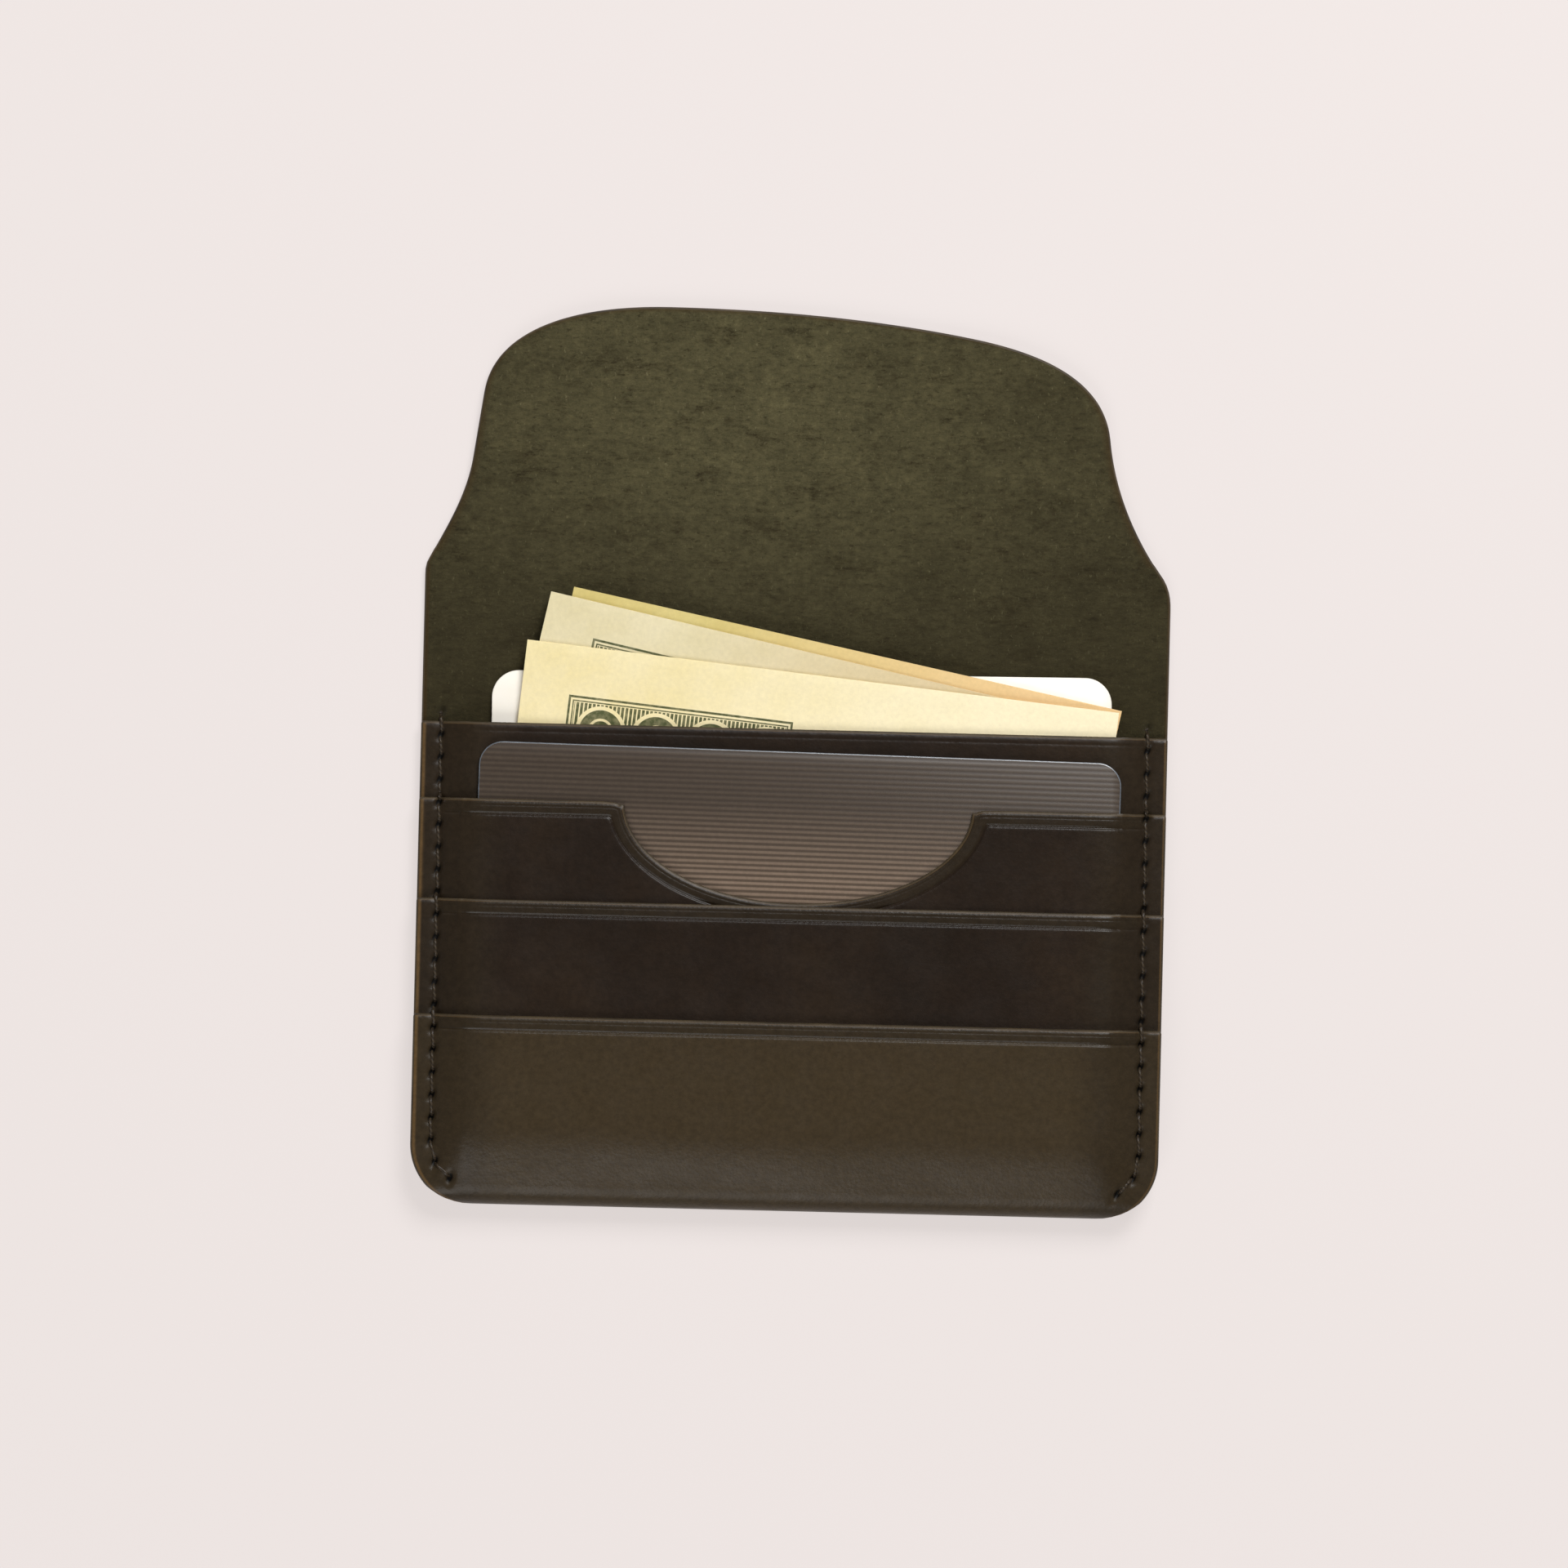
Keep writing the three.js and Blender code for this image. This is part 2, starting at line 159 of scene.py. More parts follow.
BACK_LOW, BACK_HIGH = corners("back_and_front_pocket")
FLAP_TIP = corners("flap")[1][1]
BOTTOM = BACK_LOW[1]
HALF_WIDTH = BACK_HIGH[0]
SIDE = HALF_WIDTH - EDGE_ROUND
CREASE = sorted(joint["pos_m"][1] / MM for joint in frame["joints"])
SIDES_END = CREASE[0] - STRAIGHT_BELOW_CREASE
STRIP_MIDDLE = (CREASE[0] + CREASE[1]) / 2
REAR_TOP = corners("rear_pocket_panel")[1][1]
NOTCH_TOP = corners("thumb_notch_panel")[1][1]
MIDDLE_TOP = corners("middle_pocket_panel")[1][1]
FRONT_TOP = BOTTOM + FRONT_POCKET_HEIGHT
REAR_SEAM = corners("rear_pocket_panel")[0][2]
NOTCH_SEAM = corners("thumb_notch_panel")[0][2]
MIDDLE_SEAM = corners("middle_pocket_panel")[0][2]
FRONT_SEAM = MIDDLE_SEAM + PANEL_THICK + GLUE_LINE
REAR_LIFT = corners("rear_pocket_panel")[1][2] - REAR_SEAM - PANEL_THICK
FRONT_LIFT = BACK_HIGH[2] - FRONT_SEAM - MAIN_THICK
FOLD_OUTER = (FRONT_SEAM + MAIN_THICK) / 2
FOLD_INNER = FOLD_OUTER - MAIN_THICK


def smooth(share):
    share = np.clip(share, 0, 1)
    return share * share * (3 - 2 * share)


def unit(vectors):
    return vectors / (np.linalg.norm(vectors, axis=1)[:, None] + 1e-9)


def lengths_along(points):
    """How far each point of a line is from its start."""
    steps = np.linalg.norm(np.diff(points, axis=0), axis=1)
    return np.concatenate([[0], np.cumsum(steps)])


def between_seams(x):
    """1 between the two seams, 0 on them."""
    return 1 - smooth((np.abs(x) - STITCH_LINE + 1.1) / 1.2)


def pocket_lift(x, y):
    """How far the contents lift a pocket panel, from 0 on the seams to 1 over the cards."""
    aside = (np.abs(x) - FLAT_HALF) / POCKET_SLOPE + CONTENTS_CORNER
    below = (CONTENTS_FLOOR - (y - BOTTOM)) / (CONTENTS_FLOOR - FOLD_OUTER) + CONTENTS_CORNER
    away = np.hypot(np.maximum(aside, 0), np.maximum(below, 0)) - CONTENTS_CORNER
    return 1 - smooth(away)


def pillow(share):
    """A rise that is steep beside the seam and levels off over the cards."""
    return np.sin(np.clip(share, 0, 1) * math.pi / 2) ** 1.1


def outer_height(x, y, flesh, seam, lift):
    """Height of a panel's outer face: leather stretches thin over the cards' edges, so it bends
    there more gently than its inner face."""
    across = pillow((SEAM_EDGE - np.abs(x)) / SOFT_BEND)
    up = pocket_lift(np.zeros(np.shape(x)), y)
    return np.maximum(seam + PANEL_THICK + lift * across * up, flesh + STRETCHED_THICK)


def front_swell(x, y):
    """How far the front pocket swells, from the bottom fold and the seams to the middle."""
    across = pillow((SEAM_EDGE - np.abs(x)) / SOFT_BEND)
    up = pillow((y - BOTTOM) / SOFT_RISE) ** 1.4
    return FRONT_LIFT * across * up


def body_half(y):
    """Half of the body's width at a height, which shrinks round the bottom corners."""
    above = np.clip(y - BOTTOM, 0, CORNER_RADIUS)
    return HALF_WIDTH - CORNER_RADIUS + np.sqrt(CORNER_RADIUS**2 - (CORNER_RADIUS - above) ** 2)


def waves(x, y, length, seed):
    """A soft uneven surface between about -1 and 1, whose hills are about this far apart."""
    count = 9
    rng = np.random.default_rng(seed)
    total = np.zeros(np.broadcast(x, y).shape)
    for _ in range(count):
        turn = rng.uniform(0, 2 * math.pi)
        pace = 2 * math.pi / (length * rng.uniform(0.6, 1.7))
        phase = rng.uniform(0, 2 * math.pi)
        total += np.sin((x * math.cos(turn) + y * math.sin(turn)) * pace + phase)
    return total / (count / 2)


def stitch_places(side):
    """The stitch holes of one seam, from above the rear panel down round the bottom corner."""
    arc_top = BOTTOM + CONTENTS_FLOOR + STITCH_TURN
    places = []
    y = REAR_TOP + FIRST_STITCH
    while y > arc_top:
        places.append((side * STITCH_LINE, y))
        y -= STITCH_PITCH
    start = (arc_top - y) / STITCH_CORNER
    for count in range(CORNER_STITCHES):
        angle = start + count * STITCH_PITCH / STITCH_CORNER
        x = STITCH_LINE - STITCH_CORNER * (1 - math.cos(angle))
        places.append((side * x, arc_top - STITCH_CORNER * math.sin(angle)))
    return places


HOLES = {side: stitch_places(side) for side in (-1, 1)}


def hole_marks(x, y):
    """1 in the middle of a stitch hole and 0 away from it."""
    marks = np.zeros(np.shape(x))
    for places in HOLES.values():
        for hole_x, hole_y in places:
            along = (x - hole_x) * math.sin(HOLE_SLANT) + (y - hole_y) * math.cos(HOLE_SLANT)
            across = (x - hole_x) * math.cos(HOLE_SLANT) - (y - hole_y) * math.sin(HOLE_SLANT)
            shape = np.exp(-((along / HOLE_LONG) ** 2) - (across / HOLE_WIDE) ** 2)
            marks = np.maximum(marks, shape)
    return marks


def seam_dip(x, y, low, high, hole_depth):
    """How deep the stitches pull the leather in between two heights: the holes and the line along them."""
    dip = hole_depth * hole_marks(x, y) * (y > low - 0.8) * (y < high)
    for side in (-1, 1):
        line = np.exp(-(((x - side * STITCH_LINE) / GROOVE_WIDE) ** 2))
        straight = smooth((y - BOTTOM - CONTENTS_FLOOR) / 2) * (y < high)
        dip = np.maximum(dip, GROOVE_DEEP * line * straight)
    return dip


def edge_distance(x, y):
    """How far a place on the pockets is from the outer edge of the leather, sideways."""
    half = np.where(y < SIDES_END, body_half(y), HALF_WIDTH)
    away = half - np.abs(x)
    return np.where(x < 0, away, away + WORN_EDGE * LESS_ON_RIGHT)


def new_object(name, vertices, faces, smooth_angle=50):
    mesh = bpy.data.meshes.new(name)
    mesh.from_pydata((np.asarray(vertices) * MM).tolist(), [], faces)
    mesh.validate()
    mesh.shade_smooth()
    mesh.set_sharp_from_angle(angle=math.radians(smooth_angle))
    piece = bpy.data.objects.new(name, mesh)
    bpy.context.scene.collection.objects.link(piece)
    return piece


def number_attribute(piece, name, values):
    attribute = piece.data.attributes.new(name, "FLOAT", "POINT")
    attribute.data.foreach_set("value", np.asarray(values, np.float32))


def place_attribute(piece, places):
    attribute = piece.data.attributes.new("place", "FLOAT_VECTOR", "POINT")
    attribute.data.foreach_set("vector", np.asarray(places, np.float32).ravel())


def border_loop(rows, columns):
    loop = [(0, c) for c in range(columns)]
    loop += [(r, columns - 1) for r in range(1, rows)]
    loop += [(rows - 1, c) for c in range(columns - 2, -1, -1)]
    loop += [(r, 0) for r in range(rows - 2, 0, -1)]
    return loop


def grid_quads(at):
    """The four-sided faces of a grid whose points have these numbers."""
    return np.stack([at[:-1, :-1], at[:-1, 1:], at[1:, 1:], at[1:, :-1]], -1).reshape(-1, 4)


def leather_sheet(name, flesh, grain, place, band, square_rows=()):
    """A closed sheet between two grids of points, with rounded edges all the way round.

    square_rows are border rows that stay flat, because the next piece goes on from there."""
    rows, columns, _ = flesh.shape
    count = rows * columns
    at = np.arange(count).reshape(rows, columns)
    quads = grid_quads(at)
    across = np.cross(flesh[0, 1] - flesh[0, 0], flesh[1, 0] - flesh[0, 0])
    facing = np.dot(across, flesh[0, 0] - grain[0, 0]) > 0
    flesh_quads = quads if facing else quads[:, ::-1]
    grain_quads = (quads[:, ::-1] if facing else quads) + count

    loop = border_loop(rows, columns)
    edge = np.array([at[r, c] for r, c in loop])
    flat_flesh = flesh.reshape(-1, 3)
    flat_grain = grain.reshape(-1, 3)
    middle = (flat_flesh[edge] + flat_grain[edge]) / 2
    half = (flat_flesh[edge] - flat_grain[edge]) / 2
    tangent = np.roll(middle, -1, 0) - np.roll(middle, 1, 0)
    outward = unit(np.cross(tangent, half))
    inside = np.array([
        flesh[min(max(r, 1), rows - 2), min(max(c, 1), columns - 2)] for r, c in loop
    ])
    outward *= np.where(np.sum(outward * (middle - inside), 1) < 0, -1, 1)[:, None]
    reach = np.array([0 if r in square_rows else EDGE_ROUND for r, c in loop])[:, None]
    if 0 in square_rows:
        outward[0], outward[columns - 1] = outward[-1], outward[columns]
        reach[0] = reach[columns - 1] = EDGE_ROUND

    vertices = [flat_flesh, flat_grain]
    places = [place.reshape(-1, 3), place.reshape(-1, 3)]
    bands = [band.ravel(), band.ravel()]
    rims = [np.zeros(count), np.zeros(count)]
    rings = [edge]
    for step in range(1, EDGE_STEPS):
        angle = math.pi * step / EDGE_STEPS
        vertices.append(middle + half * math.cos(angle) + outward * reach * math.sin(angle))
        places.append(place.reshape(-1, 3)[edge] + outward * reach)
        bands.append(band.ravel()[edge])
        rims.append(np.ones(len(edge)))
        rings.append(2 * count + (step - 1) * len(edge) + np.arange(len(edge)))
    rings.append(edge + count)
    rim_quads = []
    for upper, lower in zip(rings, rings[1:]):
        quad = np.stack([upper, lower, np.roll(lower, -1), np.roll(upper, -1)], 1)
        rim_quads.append(quad if facing else quad[:, ::-1])
    faces = np.concatenate([flesh_quads, grain_quads] + rim_quads)
    points = np.concatenate(vertices)
    piece = new_object(name, points, faces.tolist())
    place_attribute(piece, np.concatenate(places))
    number_attribute(piece, "band", np.concatenate(bands))
    number_attribute(piece, "rim", np.concatenate(rims))
    number_attribute(piece, "hole", hole_marks(points[:, 0], points[:, 1]))
    on_border = np.zeros(count)
    on_border[edge] = 1
    for row in square_rows:
        on_border[at[row, 1:-1]] = 0
    border = np.concatenate([on_border, on_border] + [on_border[edge]] * (EDGE_STEPS - 1))
    beside = 1 - smooth((edge_distance(points[:, 0], points[:, 1]) - WORN_EDGE) / WORN_EASE)
    number_attribute(piece, "worn", np.maximum(border, beside))
    kinds = np.zeros(len(faces), np.int32)
    kinds[: len(flesh_quads)] = 1
    kinds[len(flesh_quads) + len(grain_quads):] = 2
    piece.data.polygons.foreach_set("material_index", kinds)
    for material in (GRAIN, SUEDE, BURNISHED):
        piece.data.materials.append(material)
    return piece


def pocket_columns():
    """Places across the pockets from left to right, close together on the seams."""
    wide_step, close_step = 1.7, 0.24
    right = np.concatenate([
        np.arange(1.5, FLAT_HALF - 1, wide_step),
        np.arange(FLAT_HALF - 0.9, STITCH_LINE + 1.2, close_step),
        np.linspace(STITCH_LINE + 1.4, SIDE, 5),
    ])
    return np.concatenate([-right[::-1], [0], right])


def crease_dip(depth, crease, x, pressed=1.0):
    """The line pressed beside a panel's top edge, and how the edge itself rounds down."""
    line_deep, line_wide = 0.2, 0.17
    fine_deep, fine_wide = 0.05, 0.08
    band_deep = 0.04
    roll_deep, roll_wide = 0.14, 0.2
    inside = between_seams(x)
    line = line_deep * np.exp(-(((depth - crease) / line_wide) ** 2)) * inside
    band = band_deep * crease * (1 - smooth((depth - crease + 0.2) / 0.25)) * inside
    fine = fine_deep * np.exp(-(((depth - crease / 3) / fine_wide) ** 2)) * inside
    roll = roll_deep * np.exp(-depth / roll_wide)
    return (line + band + fine) * pressed + roll


def crease_band(depth, crease, x):
    """1 between a top edge and its pressed line, 0 below the line and on the seams."""
    return (1 - smooth((depth - crease + 0.15) / 0.2)) * between_seams(x)


def depths_from_edge(crease):
    """Row places below a top edge, close together at the edge and at its crease."""
    beside = crease + np.array([-0.5, -0.34, -0.22, -0.11, 0, 0.11, 0.22, 0.36, 0.6])
    near = np.array([0, 0.1, 0.22, 0.36, 0.46, 0.56, 0.66, 0.78, 0.95])
    near = near[near < beside[0] - 0.1]
    return np.concatenate([near, beside, np.arange(crease + 0.9, NEAR_EDGE + 0.01, 0.35)])


def notched_edge(share, depth):
    """A point on the notched panel, at a share of the way along its top edge and a depth below it."""
    top = NOTCH_TOP - EDGE_ROUND - depth
    wide = NOTCH_HALF + EDGE_ROUND + depth
    deep = NOTCH_DEPTH + EDGE_ROUND + depth
    drop = np.arcsin((EDGE_ROUND + depth) / deep)
    lip = wide * np.cos(drop)
    on_left = np.clip(share / NOTCH_SHARE, 0, 1)
    on_right = np.clip((share - 1 + NOTCH_SHARE) / NOTCH_SHARE, 0, 1)
    left = -SIDE + (NOTCH_MIDDLE - lip + SIDE) * on_left
    right = NOTCH_MIDDLE + lip + (SIDE - NOTCH_MIDDLE - lip) * on_right
    turn = np.clip((share - NOTCH_SHARE) / (1 - 2 * NOTCH_SHARE), 0, 1)
    angle = math.pi + drop + (math.pi - 2 * drop) * turn
    in_notch = (share >= NOTCH_SHARE) & (share <= 1 - NOTCH_SHARE)
    beside = np.where(share < NOTCH_SHARE, left, right)
    x = np.where(in_notch, NOTCH_MIDDLE + wide * np.cos(angle), beside)
    y = np.where(in_notch, NOTCH_TOP + deep * np.sin(angle), top)
    from_lip = np.abs(np.abs(share - 0.5) - (0.5 - NOTCH_SHARE))
    lip_fall = NOTCH_LIP * np.exp(-from_lip / 0.006) * np.exp(-depth / 0.5)
    return x, y - lip_fall * (~in_notch)


def notched_columns(columns):
    """Shares of the way along the notched edge, and the place across that each has without a notch."""
    left_edge = NOTCH_MIDDLE - NOTCH_HALF
    right_edge = NOTCH_MIDDLE + NOTCH_HALF
    left = columns[columns < -NOTCH_HALF - 1]
    right = columns[columns > NOTCH_HALF + 2]
    at_lip = np.array([0.003, 0.007, 0.012])
    along_notch = (np.arange(NOTCH_STEPS) + 0.5) / NOTCH_STEPS
    share = np.concatenate([
        NOTCH_SHARE * (left + SIDE) / (left_edge + SIDE),
        NOTCH_SHARE - at_lip,
        NOTCH_SHARE + (1 - 2 * NOTCH_SHARE) * along_notch,
        1 - NOTCH_SHARE + at_lip,
        1 - NOTCH_SHARE + NOTCH_SHARE * (right - right_edge) / (SIDE - right_edge),
    ])
    share = np.sort(np.clip(share, 0, 1))
    places = [-SIDE, left_edge, right_edge, SIDE]
    return share, np.interp(share, [0, NOTCH_SHARE, 1 - NOTCH_SHARE, 1], places)


def panel_sheet(top, visible_low, seam, lift, crease, pressed, notch, seed):
    """The grids of one pocket panel: flesh side, grain side and crease band."""
    near = depths_from_edge(crease)
    rows_x, rows_y, rows_depth = [], [], []
    columns = pocket_columns()
    if notch:
        share, columns = notched_columns(columns)
    for depth in near:
        if notch:
            x, y = notched_edge(share, depth)
        else:
            x, y = columns, np.full(columns.shape, top - EDGE_ROUND - depth)
        rows_x.append(x)
        rows_y.append(y)
        rows_depth.append(np.full(x.shape, depth))
    last_x, last_y = rows_x[-1], rows_y[-1]
    floor = BOTTOM + FOLD_OUTER + EDGE_ROUND
    seen = top - NEAR_EDGE - visible_low
    to_visible = max(0.1, seen / (top - NEAR_EDGE - floor))
    hidden_rows = 14
    parts = np.concatenate([
        np.linspace(0, to_visible, max(3, int(seen / ROW_STEP)))[1:],
        np.linspace(to_visible, 1, hidden_rows)[1:],
    ])
    for part in parts:
        rows_x.append(last_x + (columns - last_x) * part)
        rows_y.append(last_y + (floor - last_y) * part)
        rows_depth.append(near[-1] + (last_y - rows_y[-1]))
    x, y, depth = np.array(rows_x), np.array(rows_y), np.array(rows_depth)
    x = x * (body_half(y) - EDGE_ROUND) / SIDE
    flesh_z = seam + lift * pocket_lift(x, y)
    sag = 0.1 * waves(x, y, 26, seed) * pocket_lift(x, y) + 0.05
    dip = crease_dip(depth, crease, x, pressed) + seam_dip(x, y, visible_low, top + 1, PANEL_HOLE)
    outer = outer_height(x, y, flesh_z, seam, lift)
    in_sight = smooth((y - visible_low + 3) / 2)
    outer = outer * in_sight + (flesh_z + PANEL_THICK) * (1 - in_sight)
    grain_z = np.maximum(outer - dip + np.minimum(sag, 0.03), flesh_z + LEAST_THICK)
    band = crease_band(depth, crease, x) * (pressed == 1)
    return x, y, flesh_z, grain_z, band


def make_panel(name, node, top, visible_low, seam, lift, crease, pressed=1.0, notch=False, seed=1):
    x, y, flesh_z, grain_z, band = panel_sheet(
        top, visible_low, seam, lift, crease, pressed, notch, seed,
    )
    flesh = np.stack([x, y, flesh_z], -1)
    grain = np.stack([x, y, grain_z], -1)
    place = np.stack([x, y, np.full(x.shape, 10.0 * seed)], -1)
    piece = leather_sheet(name, flesh, grain, place, band)
    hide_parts(node)
    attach(piece, "holder")
    return piece


def make_back():
    """The back, the bottom fold and the front pocket in one sheet, up to the middle of the strip."""
    columns = pocket_columns()
    arc_low = BOTTOM + FOLD_OUTER
    flat = np.concatenate([
        np.arange(STRIP_MIDDLE, REAR_TOP + 3, -0.8),
        np.arange(REAR_TOP + 2.6, REAR_TOP - 2, -0.3),
        np.linspace(REAR_TOP - 3, arc_low, 20),
    ])
    edge_left, edge_right = body_edges(flat)
    rows = {"x": [], "flesh_y": [], "flesh_z": [], "grain_y": [], "grain_z": [], "along": [], "band": []}

    def row(x, flesh_y, flesh_z, grain_y, grain_z, along, band):
        values = (x, flesh_y, flesh_z, grain_y, grain_z, along, band)
        for key, value in zip(rows, values):
            rows[key].append(np.broadcast_to(value, columns.shape))

    for y, left, right in zip(flat, edge_left, edge_right):
        x = np.where(columns < 0, columns * -left / SIDE, columns * right / SIDE)
        full = np.full(x.shape, y)
        rise = 0.16 * waves(x, full, 30, 5)
        rise = rise * smooth((y - REAR_TOP) / 4) * smooth((STRIP_MIDDLE - y) / 5)
        dip = seam_dip(x, full, REAR_TOP, REAR_TOP + 3, BACK_HOLE)
        groove = np.exp(-(((np.abs(x) - STITCH_LINE) / UNDER_GROOVE_WIDE) ** 2)) * (y < REAR_TOP + 1.8)
        row(x, y, MAIN_THICK + rise - dip, y, UNDER_GROOVE_DEEP * groove, y, 0)
    for step in range(1, FOLD_STEPS):
        angle = math.pi * step / FOLD_STEPS
        y_out = arc_low - FOLD_OUTER * math.sin(angle)
        y_in = arc_low - FOLD_INNER * math.sin(angle)
        x = columns * (body_half(y_out) - EDGE_ROUND) / SIDE
        swell = front_swell(x, np.full(x.shape, y_out)) * smooth((angle - math.pi / 2) / 1.2)
        z_in = FOLD_OUTER - FOLD_INNER * math.cos(angle)
        z_out = FOLD_OUTER - FOLD_OUTER * math.cos(angle) + swell
        row(x, y_in, z_in, y_out, z_out, arc_low - FOLD_OUTER * angle, 0)
    depth = depths_from_edge(CREASE_FROM_EDGE)[::-1]
    front = np.concatenate([
        np.arange(arc_low, FRONT_TOP - EDGE_ROUND - depth[0] - 0.2, ROW_STEP),
        FRONT_TOP - EDGE_ROUND - depth,
    ])
    for y in front:
        x = columns * (body_half(y) - EDGE_ROUND) / SIDE
        full = np.full(x.shape, y)
        flesh_z = FRONT_SEAM + FRONT_LIFT * pocket_lift(x, full)
        below = FRONT_TOP - EDGE_ROUND - y
        dip = crease_dip(below, CREASE_FROM_EDGE, x)
        dip = dip + seam_dip(x, full, BOTTOM, FRONT_TOP, FRONT_HOLE)
        uneven = 0.1 * waves(x, full, 24, 8) * pocket_lift(x, full)
        grain_z = FRONT_SEAM + MAIN_THICK + front_swell(x, full)
        grain_z = np.maximum(grain_z, flesh_z + STRETCHED_THICK)
        grain_z = np.maximum(grain_z - dip + np.minimum(uneven, 0.04), flesh_z + LEAST_THICK)
        band = crease_band(below, CREASE_FROM_EDGE, x)
        along = arc_low - FOLD_OUTER * math.pi - (y - arc_low)
        row(x, y, flesh_z, y, grain_z, along, band)
    grids = {key: np.array(value, float) for key, value in rows.items()}
    flesh = np.stack([grids["x"], grids["flesh_y"], grids["flesh_z"]], -1)
    grain = np.stack([grids["x"], grids["grain_y"], grids["grain_z"]], -1)
    place = np.stack([grids["x"], grids["along"], np.zeros(grids["x"].shape)], -1)
    piece = leather_sheet("leather_back", flesh, grain, place, grids["band"], square_rows=(0,))
    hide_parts("back_and_front_pocket")
    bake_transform(piece)
    return piece


def bezier(start, leave, arrive, end, count=24):
    t = np.linspace(0, 1, count)[:, None]
    start, leave, arrive, end = (np.array(point, float) for point in (start, leave, arrive, end))
    return (1 - t) ** 3 * start + 3 * (1 - t) ** 2 * t * leave + 3 * (1 - t) * t**2 * arrive + t**3 * end


def flap_outline():
    """The flap's edge from the right side over the crown to the left side, as the leather was cut."""
    right, left = HALF_WIDTH, -HALF_WIDTH
    line, tip = CREASE[0], FLAP_TIP
    shoulder = (right - 1.5, line + 1.7)
    neck = (right - 8.55, line + 19.1)
    brow = (right - 25.85, tip - 3.55)
    crown = (left + 31.85, tip)
    far_brow = (left + 7.35, line + 24.2)
    far_neck = (left + 6.1, line + 15.6)
    far_shoulder = (left + 0.45, line + 1.5)
    pieces = [
        bezier((right, line - 3), (right, line - 1), (right - 0.4, line + 0.3), shoulder),
        bezier(shoulder, (right - 5.2, line + 6.9), (neck[0] + 0.75, neck[1] - 6.2), neck),
        bezier(neck, (neck[0] - 0.7, neck[1] + 7.8), (brow[0] + 9.2, brow[1] - 1.9), brow),
        bezier(brow, (brow[0] - 13, brow[1] + 2.55), (crown[0] + 14, tip), crown),
        bezier(crown, (crown[0] - 13, tip), (far_brow[0] + 1.3, far_brow[1] + 8.1), far_brow),
        bezier(far_brow, far_brow, far_neck, far_neck, 8),
        bezier(far_neck, (far_neck[0] - 0.7, far_neck[1] - 5.5), (left + 2.4, line + 5.3), far_shoulder),
        bezier(far_shoulder, (left + 0.15, line + 1.1), (left, line + 0.4), (left, line - 0.4)),
    ]
    points = [pieces[0][0]]
    for part in pieces:
        points.extend(part[1:])
    return np.array(points)


OUTLINE = flap_outline()


def body_edges(heights):
    """Left and right edge of the main leather at these heights, less the rounding of the edge."""
    tip = int(np.argmax(OUTLINE[:, 1]))
    right = np.interp(heights, OUTLINE[: tip + 1, 1], OUTLINE[: tip + 1, 0])
    left = np.interp(heights, OUTLINE[tip:, 1][::-1], OUTLINE[tip:, 0][::-1])
    below = heights < SIDES_END
    rounded = body_half(heights)
    right = np.where(below, rounded, right) - EDGE_ROUND
    left = np.where(below, -rounded, left) + EDGE_ROUND
    return left, right


def resample(points, count):
    length = lengths_along(points)
    places = np.linspace(0, length[-1], count)
    return np.stack([np.interp(places, length, points[:, axis]) for axis in range(2)], 1)


def make_flap():
    """The upper half of the strip and the flap: a patch stretched between the four parts of its outline."""
    tangent = unit(np.gradient(OUTLINE, axis=0))
    inset = OUTLINE + EDGE_ROUND * np.stack([-tangent[:, 1], tangent[:, 0]], 1)
    above = inset[:, 1] > STRIP_MIDDLE
    left_x, right_x = body_edges(np.array([STRIP_MIDDLE]))
    start = np.array([[right_x[0], STRIP_MIDDLE]])
    end = np.array([[left_x[0], STRIP_MIDDLE]])
    edge = np.concatenate([start, inset[above], end])
    length = lengths_along(edge)
    right_share, left_share = 0.235, 0.775
    right_corner = int(np.searchsorted(length, length[-1] * right_share))
    left_corner = int(np.searchsorted(length, length[-1] * left_share))
    columns, rows = 84, 46
    right_edge = resample(edge[: right_corner + 1], rows)
    top_edge = resample(edge[right_corner: left_corner + 1], columns)[::-1]
    left_edge = resample(edge[left_corner:], rows)[::-1]
    base = np.stack([np.linspace(left_x[0], right_x[0], columns), np.full(columns, STRIP_MIDDLE)], 1)
    u = np.linspace(0, 1, columns)[None, :, None]
    v = np.linspace(0, 1, rows)[:, None, None]
    along = (1 - v) * base[None] + v * top_edge[None]
    across = (1 - u) * left_edge[:, None] + u * right_edge[:, None]
    low_corners = (1 - u) * base[0] + u * base[-1]
    high_corners = (1 - u) * top_edge[0] + u * top_edge[-1]
    grid = along + across - (1 - v) * low_corners - v * high_corners
    x, y = grid[..., 0], grid[..., 1]
    away = smooth((y - CREASE[1]) / 9)
    rise = (0.35 + 0.3 * waves(x, y, 34, 12)) * away
    flesh = np.stack([x, y, MAIN_THICK + rise], -1)
    grain = np.stack([x, y, np.maximum(rise, 0)], -1)
    place = np.stack([x, y, np.zeros(x.shape)], -1)
    piece = leather_sheet("leather_flap", flesh, grain, place, np.zeros(x.shape), square_rows=(0,))
    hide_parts("flap", "flap_fold_strip")
    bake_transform(piece)
    return piece


def seam_surface(x, y):
    """Height of the leather that the thread lies on."""
    if y <= FRONT_TOP:
        return float(FRONT_SEAM + MAIN_THICK + front_swell(x, y))
    panels = (
        (MIDDLE_TOP, MIDDLE_SEAM, FRONT_LIFT),
        (NOTCH_TOP, NOTCH_SEAM, FRONT_LIFT),
        (REAR_TOP, REAR_SEAM, REAR_LIFT),
    )
    for top, seam, lift in panels:
        if y <= top:
            flesh = seam + lift * pocket_lift(x, y)
            return float(outer_height(x, y, flesh, seam, lift))
    return MAIN_THICK


